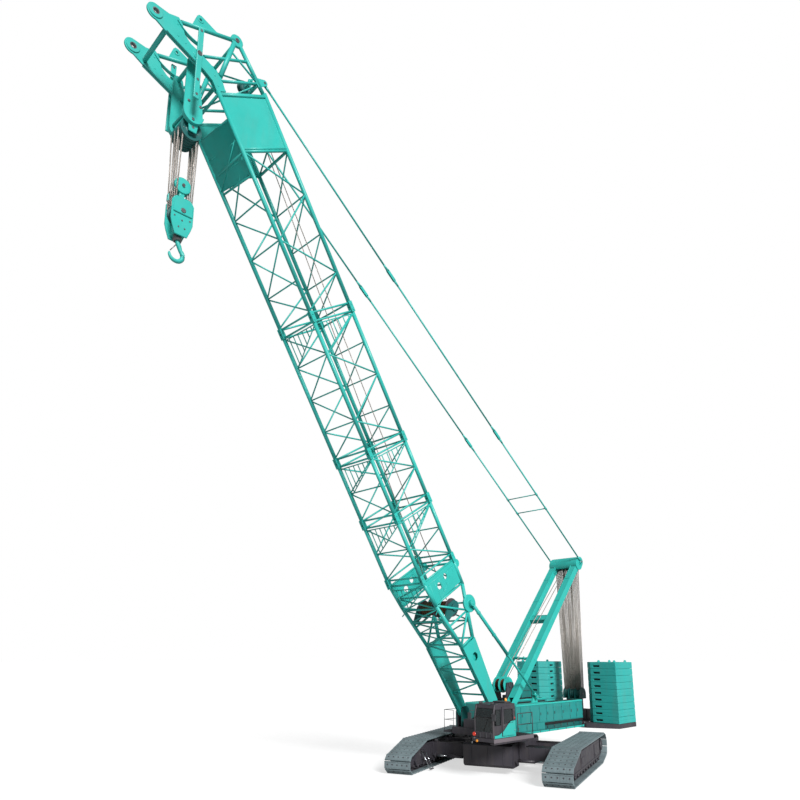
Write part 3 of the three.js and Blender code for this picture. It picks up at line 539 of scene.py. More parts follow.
def crawler(side, y):
    at = CRAWLERS @ Matrix.Translation((0, y, 0))
    places, pitch = walk(track_line(0.05), 54)
    reach, half = pitch / 2, TRACK_WIDTH / 2
    shoe = Part(HERE)
    shoe.block((0.012 - reach, -half, -0.02), (reach - 0.012, half, 0.03), 0.01)
    for x in (-pitch * 0.4, pitch * 0.4):
        shoe.block((x - 0.016, 0.02 - half, -0.04), (x + 0.016, half - 0.02, -0.015), 0.006)
    for i in range(9):
        across = 0.11 - half + i * (TRACK_WIDTH - 0.22) / 8
        shoe.block((-pitch * 0.32, across - 0.05, -0.027), (pitch * 0.3, across + 0.05, -0.016), 0.004)
    # Dark discs standing for the shoes' bolt recesses: painted shade.
    for across in (-0.5, -0.25, 0, 0.25, 0.5):
        shoe.bar((pitch * 0.05, across, -0.03), (pitch * 0.05, across, -0.01), 0.036, paint=1)
    # Thin dark sheet on the shoes' inner face: painted shade inside the track loop.
    shoe.block((0.02 - reach, 0.3 - half, 0.029), (reach - 0.02, half - 0.3, 0.034), paint=1)
    for across in (-0.2, 0.2):
        shoe.block((0.004 - reach, across - 0.035, 0.028), (reach - 0.004, across + 0.035, 0.078), paint=1)
    part = Part(at)
    part.repeat(shoe.bm, [at @ place for place in places])
    part.finish(f"crawler_shoes_{side}", "undercarriage", [SHOE, CHARCOAL_AND_SHADE], "track_shoes", [f"track_{side}"])

    part = Part(at)
    rollers = [(-2.75 + i * 0.655, 0.268) for i in range(10)]
    for centre in rollers:
        part.disc(centre, 0.44, 0.5, 0.075, segments=12)
    for x, z, radius in (SPROCKET, IDLER):
        part.disc((x, z), 0.405, 0.47, radius * 0.42, edge=0.02)
        for bolt_x, bolt_z in ring(x, z, radius * 0.33, 10):
            part.bar((bolt_x, 0.46, bolt_z), (bolt_x, 0.49, bolt_z), 0.02, 6)
    part.mirror()
    for centre in rollers:
        part.disc(centre, -0.34, 0.34, 0.135, edge=0.02, segments=20)
    for x in (-1.9, 0.1, 1.7):
        part.disc((x, 1.185), -0.3, 0.3, 0.08, segments=16)
    tooth = Part(HERE)
    tooth.slab([(0.40, -0.07), (0.465, -0.03), (0.465, 0.03), (0.40, 0.07)], -0.055, 0.055, 0.006)
    teeth = []
    for i in range(18):
        turn = Matrix.Rotation(TAU * i / 18, 4, "Y") @ UPRIGHT
        for across in (-0.08, 0.32):
            teeth.append(at @ Matrix.Translation((SPROCKET[0], across, SPROCKET[1])) @ turn)
    part.repeat(tooth.bm, teeth)
    part.finish(f"crawler_rollers_{side}", "undercarriage", [CHARCOAL_AND_SHADE], "dark_paint")

    part = Part(at)
    face, proud = 0.4505, 0.475
    for x in (-1.75, 1.7):
        part.block((x - 0.03, face, 0.4), (x + 0.03, proud, 1.1), 0.006)
    part.block((-3.2, face, 0.36), (3.2, proud, 0.43), 0.006)
    part.block((-3.2, face, 1.08), (2.1, proud, 1.15), 0.006)
    part.block((0.75, face, 0.6), (1.5, proud, 0.85), 0.015)
    for i in range(4):
        part.bar((-3.0 + i * 0.32, face, 0.58), (-3.0 + i * 0.32, 0.49, 0.58), 0.018, 6, 1)
    part.mirror()
    for y0 in (face, -proud):
        part.plate([(-3.15, 0.5), (-2.0, 0.5), (-1.85, 0.65), (-1.85, 1.02), (-3.15, 1.02)], y0, y0 + 0.0147)
    inner = -math.copysign(1, y)
    for x in BEAMS:
        part.block((x - 0.4, inner * 0.452, 0.5), (x + 0.4, inner * 0.52, 1.12), 0.01)
    part.finish(f"crawler_frame_trim_{side}", "undercarriage", [CHARCOAL_AND_SHADE, BARE], "dark_paint")


def beam_lock_lugs():
    """Lock lugs and pins where the two cross beams meet the crawler frames."""
    part = Part(CRAWLERS)
    for x in BEAMS:
        for across in (x - 0.25, x + 0.25):
            part.block((across - 0.05, 2.98, 1.131), (across + 0.05, 3.2, 1.28), 0.015)
        part.bar((x - 0.36, 3.08, 1.22), (x + 0.36, 3.08, 1.22), 0.035, 10, 1)
    part.mirror()
    part.finish("beam_lock_lugs", "undercarriage", [CHARCOAL_AND_SHADE, BARE], "dark_paint")


def undercarriage_trim():
    part = Part(CRAWLERS)
    for x in BEAMS:
        for y in (1.7, 2.5):
            part.block((x - 0.362, y - 0.03, 0.52), (x + 0.362, y + 0.03, 1.142), 0.006)
        for across in (x - 0.2, x + 0.2):
            part.bar((across, 1.52, 1.16), (across, 2.95, 1.16), 0.018, 6, 1)
    part.mirror()
    for end in (-1, 1):
        for y in (-0.78, 0.0, 0.78):
            part.block((end * 2.4505, y - 0.02, 0.45), (end * 2.4705, y + 0.02, 1.22), 0.004)
        for y in (-1.25, -0.4, 0.4, 1.25):
            part.block((end * 1.3002, y - 0.03, 0.6), (end * 1.33584, y + 0.03, 1.33), 0.004)
        lug = [(end * 1.5, 1.341), (end * 1.9, 1.341), (end * 1.8, 1.5), (end * 1.6, 1.5)]
        for y in (-1.0, 1.0):
            part.plate(lug, y - 0.025, y + 0.025, holes=[(end * 1.7, 1.43, 0.035)])
    part.finish("carbody_ribs", "undercarriage", [CHARCOAL_AND_SHADE, BLACK_RUBBER_AND_SHADE], "dark_paint")

    part = Part(CRAWLERS)
    for x in (-2.05, 2.05):
        part.bar((x, 1.35, 0.62), (x, 2.15, 0.62), 0.07, 14)
        part.bar((x, 2.15, 0.62), (x, 2.75, 0.62), 0.038, 12, 1)
        part.disc((x, 0.62), 2.75, 2.79, 0.11, segments=16)
    for x in (2.45, 2.8):
        part.bar((x, 3.22, 0.95), (x, 2.72, 0.06), 0.018, paint=1)
    for share in (0.1, 0.4, 0.7, 0.97):
        y, z = 3.22 - 0.5 * share, 0.95 - 0.89 * share
        part.block((2.45, y - 0.06, z - 0.012), (2.8, y + 0.06, z + 0.012), 0.004)
    part.mirror()
    part.finish("beam_jacks_and_steps", "undercarriage", [CHARCOAL_AND_SHADE, CHROME], "dark_paint")

    part = Part(CRAWLERS)
    part.at(CRAWLERS @ UPRIGHT).turned([(1.2, 1.38), (1.42, 1.38), (1.42, 1.455), (1.39, 1.47), (1.39, 1.52),
                                        (1.42, 1.535), (1.42, 1.61), (1.2, 1.61), (1.2, 1.38)], segments=64)
    for spot in ring(0, 0, 1.45, 48):
        part.bar((*spot, 1.36), (*spot, 1.4), 0.024, 6, 1)
    part.finish("slewing_ring_teeth", "undercarriage", [CHARCOAL_AND_SHADE, BARE], "dark_paint", ["slewing_ring"])


# ------------------------------------------------------------------ boom

CORNERS = ((1, -1), (1, 1), (-1, 1), (-1, -1))  # belly left, back left, back right, belly right


def chord_point(s, corner):
    y, z = CORNERS[corner % 4]
    return (s, y * HALF, z * DEPTH)


def tube(part, start, end, radius=LACING):
    part.bar(start, end, radius, 10)


def end_frame(part, s, radius=0.042):
    for corner in range(4):
        tube(part, chord_point(s, corner), chord_point(s, corner + 1), radius)


def chord_ends(part, s, facing):
    """Pin lugs that join one section's chords to the next."""
    for corner in range(4):
        x, y, z = chord_point(s - facing * 0.12, corner)
        for across in (y - 0.105, y + 0.055):
            part.plate(oblong(x - 0.12, z - 0.1, x + 0.12, z + 0.1), across, across + 0.05, 0.006)
        part.bar((x, y - 0.13, z), (x, y + 0.13, z), 0.045, 10)


def lacing(part, nodes, first=0):
    """Zigzag on the sides, posts with one-way diagonals on the back and belly, between stations."""
    for i, (a, b) in enumerate(zip(nodes, nodes[1:])):
        up = (i + first) % 2
        for low, high in ((0, 1), (3, 2)):
            tube(part, chord_point(a, low if up else high), chord_point(b, high if up else low))
        thin = [(a, 2, b, 1), (a, 0 if up else 3, b, 3 if up else 0)]
        if i:
            thin += [(a, 1, a, 2), (a, 0, a, 3)]
        for s, corner, t, other in thin:
            tube(part, chord_point(s, corner), chord_point(t, other), LACING * 0.9)


def guard_frames(part, s):
    """Three-cornered ladder frames below a joint, on the left side and on the belly."""
    top, reach, pipe = s - 0.3, 1.35, 0.026
    for low, high in ((0, 1), (3, 0)):
        a, b = Vector(chord_point(top, high)), Vector(chord_point(top, low))
        tip = Vector(chord_point(top - reach, low))
        tube(part, a, b, pipe)
        tube(part, a, tip, pipe)
        for i in range(1, 7):
            tube(part, a.lerp(b, i / 7), a.lerp(tip, i / 7), pipe * 0.9)


def section(number, s0, s1, nodes, first=0):
    """One insert of the boom, from s0 to s1 along it."""
    part = Part(BOOM)
    for corner in range(4):
        part.bar(chord_point(s0 + 0.02, corner), chord_point(s1 - 0.02, corner), CHORD, 16)
    chord_ends(part, s0, -1)
    chord_ends(part, s1, 1)
    for s in (s0 + 0.18, s1 - 0.18):
        end_frame(part, s)
    lacing(part, nodes, first)
    guard_frames(part, s1)
    part.finish(f"insert_lacing_{number}", "boom", [TEAL], "teal_paint", [f"boom_insert_{number}"])


def inserts():
    section(1, JOINTS[0], JOINTS[1], [7.98, 9.3, 10.55])
    section(2, JOINTS[1], JOINTS[2], [11.03, 12.35, 13.6], 1)
    section(3, JOINTS[2], JOINTS[3], [14.08, 15.35, 16.85, 18.35, 19.7])


def top_section():
    part = Part(BOOM)
    part.plate(oblong(26.8, -DEPTH, 28.98, DEPTH), HALF - 0.012, HALF + 0.012)
    for s in (26.84, 28.95):
        tube(part, (s, HALF + 0.02, -DEPTH), (s, HALF + 0.02, DEPTH), 0.05)
    part.mirror()
    s0, s1 = JOINTS[3], JOINTS[4]
    for corner in range(4):
        part.bar(chord_point(s0 + 0.02, corner), chord_point(s1, corner), CHORD, 16)
    chord_ends(part, s0, -1)
    end_frame(part, s0 + 0.18)
    lacing(part, [20.2, 21.5, 23.2, 24.9, 26.75], 1)
    for s in (26.75, 29.0):
        end_frame(part, s, 0.06)
    for a, b in ((26.75, 27.9), (27.9, 29.0)):
        tube(part, chord_point(a, 2), chord_point(b, 1))
        tube(part, chord_point(b, 2), chord_point(b, 1))
    for s in (25.95, 28.15):
        tube(part, (s + 0.1, -HALF, -DEPTH), (s - 0.1, HALF, -DEPTH), 0.045)
    tube(part, (26.2, 0.1 - HALF, -DEPTH - 0.05), (27.3, HALF - 0.1, -DEPTH - 0.05), 0.025)
    part.finish("top_section_lacing", "boom", [TEAL], "teal_paint", ["boom_top_section"])

    part = Part(BOOM)
    for s, length in ((26.0, 0.62), (26.64, 0.68), (27.34, 0.78)):
        sheet = bmesh.new()
        rows = [], []
        for i in range(9):
            y = HALF * (i / 4 - 1)
            wave = 0.03 * math.sin(3 * y + 5 * s)
            rows[0].append(sheet.verts.new((s - 0.1 * y + wave, y, -DEPTH - 0.02)))
            rows[1].append(sheet.verts.new((s + length - 0.1 * y, y, -DEPTH - 0.05)))
        for a, b, c, d in zip(rows[0], rows[0][1:], rows[1][1:], rows[1]):
            sheet.faces.new((a, b, c, d))
        bmesh.ops.solidify(sheet, geom=sheet.faces[:], thickness=0.012)
        bmesh.ops.recalc_face_normals(sheet, faces=sheet.faces)
        part.add(sheet)
    # The belly plates get the lightened teal: painted light.
    part.finish("belly_plate", "boom", [BELLY_LIT_TEAL], "teal_paint")


def base_section():
    """Box legs from the foot pins, lattice between them, and the pierced plates at the first joint."""
    part = Part(BOOM)
    end, y = JOINTS[0], HALF
    leg = arc(0, 0, 0.25, 100, 262, 12) + [(3.9, -0.52), (3.9, 0.48)]
    part.plate(leg, y - 0.11, y - 0.075, holes=[(0, 0, 0.097)])
    part.plate(leg, y + 0.075, y + 0.11, holes=[(0, 0, 0.097), (3.15, 0.0, 0.2)])
    for flange in ([(0.1, -0.2), (3.88, -0.47)], [(0.1, 0.2), (3.88, 0.43)]):
        band(part, flange, shifted(flange, 0, 0.03), y - 0.1, y + 0.1)
    part.disc((0, 0), y - 0.125, y + 0.125, 0.2, 0.097)
    for a, b in (
            ((3.75, -0.42), (6.4, -1.0)), ((6.35, -0.995), (end - 0.02, -DEPTH)),
            ((3.75, 0.38), (6.4, DEPTH - 0.02)), ((6.35, DEPTH - 0.03), (end - 0.02, DEPTH))):
        part.bar((a[0], y, a[1]), (b[0], y, b[1]), CHORD, 16)
    part.plate([(6.45, -0.98), (end - 0.08, -DEPTH + 0.02), (end - 0.08, DEPTH), (6.5, DEPTH)], y - 0.02,
               y + 0.02, holes=[(7.02, -0.3, 0.16), (7.22, 0.25, 0.14)])
    for a, b in (((4.0, -0.46), (5.15, 0.82)), ((5.15, 0.82), (6.35, -0.95)), ((3.95, 0.46), (3.95, -0.5)),
                 ((5.15, -0.72), (5.15, 0.8)), ((6.4, -0.95), (6.4, DEPTH))):
        part.bar((a[0], y, a[1]), (b[0], y, b[1]), 0.05, 12)
    part.disc((5.38, 1.04), y, y + 0.12, 0.42, 0.065, 0.02, segments=40)
    part.disc((5.38, 1.04), y, y + 0.14, 0.2, 0.065, 0.015)
    part.bar((5.38, y, 1.04), (5.38, 1.41, 1.04), 0.058, 16)
    part.disc((7.35, 1.36), 0.98, 1.06, 0.2, edge=0.015)
    part.mirror()
    belly = [(1.2, -0.2), (1.95, -0.31), (2.7, -0.39), (3.4, -0.45), (4.1, -0.52), (4.8, -0.66), (5.5, -0.81),
             (6.2, -0.95), (6.9, -1.08), (7.55, -1.19)]
    back = [(3.9, 0.42), (4.7, 0.65), (5.5, 0.9), (6.4, 1.18), (7.55, 1.2)]
    for stations, pipe in ((belly, 0.038), (back, 0.036)):
        for i, (a, b) in enumerate(zip(stations, stations[1:])):
            way = HALF if i % 2 else -HALF
            tube(part, (a[0], -HALF, a[1]), (a[0], HALF, a[1]), 0.045)
            tube(part, (a[0], way, a[1]), (b[0], -way, b[1]), pipe)
            if stations is belly and 3 < i < 8:
                tube(part, (a[0], -way, a[1]), (b[0], way, b[1]), 0.03)
    end_frame(part, end - 0.12, 0.045)
    chord_ends(part, end, 1)
    guard_frames(part, end - 0.05)
    part.bar((7.35, -HALF, 1.42), (7.35, HALF, 1.42), 0.06, 14)
    part.finish("base_section_lattice", "boom", [TEAL], "teal_paint", ["boom_base"])

    part = Part(BOOM)
    part.plate([(5.3, -0.78), (5.5, -0.78), (5.98, -0.15), (5.98, 0.3), (5.8, 0.48), (5.6, 0.48), (5.42, 0.3),
                (5.42, -0.15)], 0.93, 1.0, holes=[(5.7, 0.1, 0.078)])
    part.bar((5.7, 1.01, 0.1), (5.7, 1.1, 0.1), 0.16, 16)
    part.mirror()
    part.bar((5.4, -0.98, -0.72), (5.4, 0.98, -0.72), 0.05, 10)
    part.finish("winch_cradle", "boom", [DEEP_TEAL_AND_SHADE], "teal_paint")


def winch_drum(name, centre, half, barrel, flange, place, node, finishes, slot):
    """Rope drum that turns with its body: rope laid in turns between flanges, with a middle flange."""
    part = Part(place)
    for y in (-half, -0.025, half - 0.05):
        part.disc(centre, y, y + 0.05, flange, 0.075, 0.01, 1, 40)
    turns = 16
    for low, high in ((-half + 0.05, -0.025), (0.025, half - 0.05)):
        step = (high - low) / turns
        laid = [(barrel + (0.014 if i % 2 else -0.012), low + i * step / 2) for i in range(2 * turns + 1)]
        part.turned([(0.07, low)] + laid + [(0.07, high), (0.07, low)], centre, 32)
    part.bar((centre[0], -half - 0.09, centre[1]), (centre[0], half + 0.09, centre[1]), 0.068, 20, 2)
    part.finish(name, node, finishes, slot, [node])


def boom_head():
    """Horns, braces and shafts of the boom head."""
    part = Part(BOOM)
    start, y = JOINTS[4] + 0.005, HORN_Y
    lower = [(start, -1.26), (29.5, -1.26), (29.85, -1.44), (30.2, -1.68), (30.6, -1.97), (31.26, -2.43)]
    upper = [(31.95, -1.95), (31.86, -1.56), (31.65, -1.5), (31.23, -1.62), (30.9, -1.52), (30.56, -1.24),
             (30.2, -0.98), (29.7, -0.7), (start, -0.78)]
    horn = lower + arc(31.96, -2.52, 0.33, 205, 380, 14) + upper
    part.plate(horn, y - 0.03, y + 0.03, holes=[(31.96, -2.52, 0.12), (30.45, -1.42, 0.087)])
    part.plate([(31.6, -1.12), (32.04, -0.62), (32.09, -0.5), (32.04, -0.4), (31.45, 0.06)], y - 0.03,
               y + 0.03, holes=[(31.88, -0.54, 0.07)])
    part.plate([(29.38, 1.05), (29.78, 1.05)] + arc(29.58, 1.5, 0.13, 20, 160, 8), 1.03, 1.058)
    for centre, half, radius, bore, edge, paint, segments in (
            ((31.96, -2.52), 0.07, 0.27, 0.12, 0.015, 0, 36),
            ((31.96, -2.52), 0.075, 0.135, 0.1, 0.006, 1, 36),
            ((30.45, -1.42), 0.055, 0.19, 0.087, 0.012, 0, 28),
            ((31.88, -0.54), 0.05, 0.13, 0.065, 0.01, 0, 20), ((31.23, 0.92), 0.06, 0.27, 0, 0.02, 0, 32),
            ((31.23, 0.92), 0.085, 0.1, 0, 0.01, 1, 20)):
        part.disc(centre, y - half, y + half, radius, bore, edge, paint, segments)
    for bolt in ((31.15, -1.95), (30.9, -1.75), (29.75, -0.98), (29.35, -1.02), (31.6, -1.75)):
        part.disc(bolt, y - 0.042, y + 0.042, 0.045, edge=0.008, segments=10)
    band(part, lower, shifted(lower, -0.02, 0.035), y - 0.09, y + 0.09)
    web = arc(31.9, -0.5, 1.2, 205, 262, 8)
    band(part, web, shifted(web, 0.025, 0.02), y - 0.075, y + 0.075)
    for a, b, radius, sides in (
            ((31.7, -1.52), (31.25, 0.85), 0.078, 16), ((start + 0.02, DEPTH), (31.2, 0.97), 0.083, 16),
            ((31.1, 0.7), (29.72, -0.72), 0.098, 18), ((29.55, -0.76), (29.55, DEPTH), 0.058, 14),
            ((30.47, -1.12), (30.43, 1.04), 0.058, 14), ((30.9, 0.35), (29.6, 1.1), 0.04, 12)):
        part.bar((a[0], y, a[1]), (b[0], y, b[1]), radius, sides)
    part.block((start, y - 0.06, -1.24), (start + 0.06, y + 0.06, -0.78), 0.006)
    part.bar((29.58, 0.92, 1.5), (29.58, 1.075, 1.5), 0.05, 12, 1)
    part.plate([(29.6, 1.02), (29.75, 1.02), (30.05, 1.25), (30.05, 1.4), (29.9, 1.42)], 0.48, 0.52)
    part.mirror()
    for s, z, radius in (
            (31.42, -2.28, 0.093), (31.23, 0.92, 0.073), (29.5, -0.88, 0.073), (29.5, 1.08, 0.068)):
        part.bar((s, -HORN_Y, z), (s, HORN_Y, z), radius, 18)
    for corner in ((29.5, -0.95, -0.88), (31.2, -0.95, 0.9)):
        part.bar(corner, (29.5, 0.95, 1.08), 0.036, 12)
    part.bar((29.95, -0.62, 1.32), (29.95, 0.62, 1.32), 0.05, 12)
    part.finish("boom_head_horns", "boom", [TEAL, BARE], "teal_paint", ["boom_head"])

    part = Part(BOOM)
    part.sheaves((29.95, 1.32), 0.3, 0.1, 2, 0.05)
    part.finish("rear_guide_sheaves", "boom", [DEEP_TEAL_AND_SHADE], "teal_paint")


def boom_ropes():
    part = Part(BOOM)
    for y in (-0.28, 0.28):
        part.bar((5.95, y * 1.6, 0.42), (29.75, y * 0.25, 1.35), 0.02, 6)
    part.finish("boom_hoist_ropes", "boom", [ROPE], "rope_coil")


# ------------------------------------------------------------------ what hangs from the head


def hanging_frame():
    part = Part(FALLS)
    x, z = PIVOT_X - FALLS_X, PIVOT_Z
    foot = (0.06, 25.52)
    cheek = ([(x - 0.2, z), (-0.23, 26.3)] + arc(*foot, 0.4, 180, 360, 18) + [(0.46, 26.3)]
             + arc(x, z, 0.2, 0, 180, 10))
    part.plate(cheek, 0.56, 0.62, holes=[(x, z, 0.079)])
    rim = arc(*foot, 0.415, 180, 360, 18)
    band(part, rim, shrunk(rim, foot, 0.94), 0.5, 0.68)
    part.block((x - 0.11, 1.112, z - 2.03), (x + 0.11, 1.188, z + 1.18), 0.02)
    for dz in (-1.85, -1.2, 0.0, 1.05):
        part.bar((x, 1.1, z + dz), (x, 1.205, z + dz), 0.05 if dz else 0.1, 16, 1)
    part.plate([(-0.15, 24.8), (0.15, 24.8), (0.25, 25.5), (-0.25, 25.5)], 0.512, 0.568, 0.01)
    for bolt in ((-0.2, 26.0), (0.28, 26.0), (0.05, 25.3), (-0.12, 26.9)):
        part.disc(bolt, 0.6, 0.645, 0.06, 0, 0.01, 1, 12)
    part.mirror()
    part.bar((x, -1.2, z), (x, 1.2, z), 0.079, 24)
    part.bar((0, -0.57, 25), (0, 0.57, 25), 0.06, 20, 1)
    for dx, dz in ((0.3, 25.6), (-0.2, 26.6), (0.05, 26.9)):
        part.bar((dx, -0.57, dz), (dx, 0.57, dz), 0.06, 14)
    part.finish("sheave_hanger", "sheave_frame", [TEAL, BARE], "teal_paint", ["sheave_frame"])

    part = Part(FALLS)
    part.sheaves((0, 25), 0.438, 0.435, 6, 0.078)
    part.finish("head_sheave_pack", "sheave_frame", [DEEP_TEAL_AND_SHADE], "teal_paint", ["head_sheaves"])


def hoist_falls():
    """The falls between the head sheaves and the hook block."""
    part = Part(FALLS)
    for i in range(6):
        y = -0.367 + i * 0.147
        inner = 0.12 if i % 2 else 0
        for side in (-1, 1):
            part.bar((side * (0.41 - inner), y, 24.98), (side * (0.39 - inner), y * 0.5, 21.6), 0.029, 6)
    obj = part.finish("hoist_falls", None, [ROPE], "rope_coil")
    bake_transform(obj)


def hook_block():
    part = Part(FALLS)
    cheek = [(0.24, 20.48), (0.37, 20.83), (0.43, 21.05), (0.43, 21.85), (0.36, 21.98), (0.26, 22.06)]
    cover = [(0.3698, 21.35), (0.3698, 21.85), (0.2236, 22.0)]
    for half_outline, y0, y1, edge in ((cheek, 0.225, 0.285, 0.012), (cover, 0.284, 0.335, 0.02)):
        part.plate(half_outline + [(-x, z) for x, z in reversed(half_outline)], y0, y1, edge)
    part.disc((0, 21.5), 0.33, 0.36, 0.1, 0, 0.015, 1, 24)
    for bolt in ((-0.12, 20.8), (0.12, 20.8), (0, 21.1), (-0.3, 21.2), (0.3, 21.2)):
        part.disc(bolt, 0.28, 0.3, 0.035, 0, 0.006, 1, 10)
    part.disc((0, 22.68), 0.023, 0.147, 0.33, 0.06, 0.02, segments=36)
    part.mirror()
    for corner, opposite, edge in (((-0.2, -0.27, 20.6), (0.2, 0.27, 21.02), 0.03),
                                   ((-0.24, -0.27, 21.962), (0.24, 0.27, 22.055), 0.015),
                                   ((-0.1, -0.1, 22.05), (0.1, 0.1, 22.66), 0.015),
                                   ((0.3, -0.3, 22.0), (0.42, -0.16, 22.3), 0.02),
                                   ((0.2, -0.27, 21.97), (0.4, -0.18, 22.03), 0.01)):
        part.block(corner, opposite, edge)
    part.disc((0.2, 22.32), -0.26, -0.2, 0.2, 0, 0.015, 2)
    part.bar((0.2, -0.25, 22.32), (0, -0.05, 22.4), 0.03, 10, 1)
    part.bar((0, -0.2, 22.68), (0, 0.2, 22.68), 0.06, 16, 1)
    collar = [(0.11, 20.36), (0.16, 20.38), (0.17, 20.6), (0.11, 20.6), (0.11, 20.36)]
    part.at(FALLS @ UPRIGHT).turned(collar, paint=1)
    part.finish("hook_block_body", "hook_block", [TEAL, BARE, DEEP_TEAL_AND_SHADE], "teal_paint", ["hook_block"])

    part = Part(FALLS)
    part.sheaves((0, 21.5), 0.408, 0.205, 4, 0.086)
    part.finish("hook_block_sheave_pack", "hook_block", [DEEP_TEAL_AND_SHADE], "teal_paint", ["hook_block_sheaves"])


def hook():
    part = Part(FALLS)
    line = [(0, 20.9), (0, 20.6), (0, 20.42), (-0.03, 20.3),
            (-0.1, 20.17)] + arc(0, 19.82, 0.26, 128, 362, 18)
    bowl = (0.09, 0.1, 0.105, 0.108, 0.11, 0.11, 0.11, 0.108, 0.105, 0.1, 0.096, 0.092, 0.088, 0.084, 0.08,
            0.075, 0.07, 0.062, 0.045)
    part.swept([(x, 0, z) for x, z in line], [0.085] * 4 + [0.088] + [radius * 0.82 for radius in bowl], 16)
    part.bar((-0.02, 0, 20.3), (0.235, 0, 19.9), 0.02, paint=1)
    part.at(FALLS @ UPRIGHT).turned([(0, 20.42), (0.13, 20.42), (0.14, 20.44), (0.14, 20.53), (0.13, 20.55),
                                     (0, 20.55)], segments=24, paint=1)
    part.finish("load_hook", "hook", [TEAL, BARE], "teal_paint", ["hook"])


# ------------------------------------------------------------------ mast, pendants, backstops and their ropes


def mast():
    part = Part(MAST)
    top = MAST_LENGTH - 0.56
    outline = arc(0, 0, 0.19, 100, 260, 12) + oblong(0.7, -0.18, top, 0.18)
    for side in (-1, 1):
        y = side * 0.7
        for across in (-0.18, 0.15):
            part.plate(outline, y + across, y + across + 0.03, holes=[(0, 0, 0.077)])
        for z in (-0.17, 0.15):
            part.block((0.6, y - 0.16, z), (top, y + 0.16, z + 0.02))
        part.block((0.28, y - 0.16, -0.15), (0.32, y + 0.16, 0.15))
        part.disc((0, 0), y - 0.195, y + 0.195, 0.17, 0.077)
        for x in (2.2, 4.4, 7.4, 9.2):
            part.block((x, y - 0.186, -0.186), (x + 0.05, y + 0.186, 0.186), 0.006)
        for x in (3.3, 6.15):
            part.disc((x, 0), *sorted((side * 0.875, side * 0.895)), 0.1, edge=0.008, segments=20)
    part.block((5.99, -0.55, -0.13), (6.31, 0.55, 0.13), 0.02)
    for x in (5.97, 6.29):
        part.block((x, -0.54, -0.15), (x + 0.04, 0.54, 0.15), 0.006)
    part.bar((3.3, -0.56, 0), (3.3, 0.56, 0), 0.06, 16)
    for y in (-0.2, 0.2):
        part.bar((3.3, y, -0.1), (3.3, y, 0.1), 0.05, 10)
    part.finish("mast_legs", "mast", [TEAL], "teal_paint", ["mast_frame"])

    part = Part(MAST)
    end = MAST_LENGTH
    crown = arc(end - 0.22, 0, 0.33, 90, 270, 14) + arc(end, 0, 0.3, -90, 90, 16)
    cheek = shifted([(-0.9, -0.17), (-0.5, -0.2), (-0.2, -0.3), (-0.2, 0.28), (-0.9, 0.17)], end, 0)
    for side in (-1, 1):
        part.plate(crown, *sorted((side * 0.88, side * 0.92)))
        part.disc((end, 0), *sorted((side * 0.9, side * 0.945)), 0.2, edge=0.015)
        part.plate(cheek, *sorted((side * 0.52, side * 0.56)))
    hood = arc(end - 0.22, 0, 0.33, 262, 190, 8)[::-1] + arc(end, 0, 0.3, -88, 40, 14)
    band(part, hood, shrunk(hood, (end - 0.11, 0), 0.9), -0.9, 0.9)
    part.block((end - 0.2, -0.55, -0.33), (end - 0.05, 0.55, -0.3), 0.01)
    part.bar((end, -1.04, 0), (end, 1.04, 0), 0.058, 20, 1)
    part.finish("mast_crown", "mast", [TEAL, BARE], "teal_paint", ["mast_head"])

    part = Part(MAST)
    for y in (-0.52, 0.0, 0.52):
        part.at(MAST @ Matrix.Translation((MAST_LENGTH - 0.16, y, 0.06))).sheaves((0, 0), 0.3, 0.22, 3, 0.06)
    part.finish("mast_sheaves", "mast", [DEEP_TEAL_AND_SHADE], "teal_paint")


def pendants():
    part = Part(PENDANTS)
    joints = [PENDANT_LENGTH * share for share in (0, 0.34, 0.68, 1)]
    y = 0.975
    for a, b in zip(joints, joints[1:]):
        low = a + (0.12 if a == 0 else 0.3)
        high = b - (0.12 if b == PENDANT_LENGTH else 0.3)
        part.bar((low, y, 0), (high, y, 0), 0.042, 12)
        for x, way in ((low, 1), (high, -1)):
            part.bar((x - way * 0.02, y, 0), (x + way * 0.3, y, 0), 0.062, 12, tip=0.044)
    for x in joints[1:3]:
        for across in (y - 0.044, y + 0.022):
            part.plate(arc(x - 0.26, 0, 0.075, 90, 270, 8) + arc(x + 0.26, 0, 0.075, -90, 90, 8), across,
                       across + 0.022)
        for pin in (x - 0.26, x + 0.26):
            part.bar((pin, y - 0.044, 0), (pin, y + 0.044, 0), 0.03, 12, 1)
    for x in (joints[0], joints[-1]):
        part.disc((x, 0), y - 0.022, y + 0.022, 0.128, 0.062, 0.008, segments=24)
    spreaders = (4.4, 5.5)
    for x in spreaders:
        part.bar((x - 0.08, y, 0), (x + 0.08, y, 0), 0.06, 12)
    part.mirror()
    for x in spreaders:
        part.bar((x, -y, 0), (x, y, 0), 0.03, 10)
    part.finish("pendant_rods", "pendants", [TEAL, BARE], "teal_paint", ["pendants"])


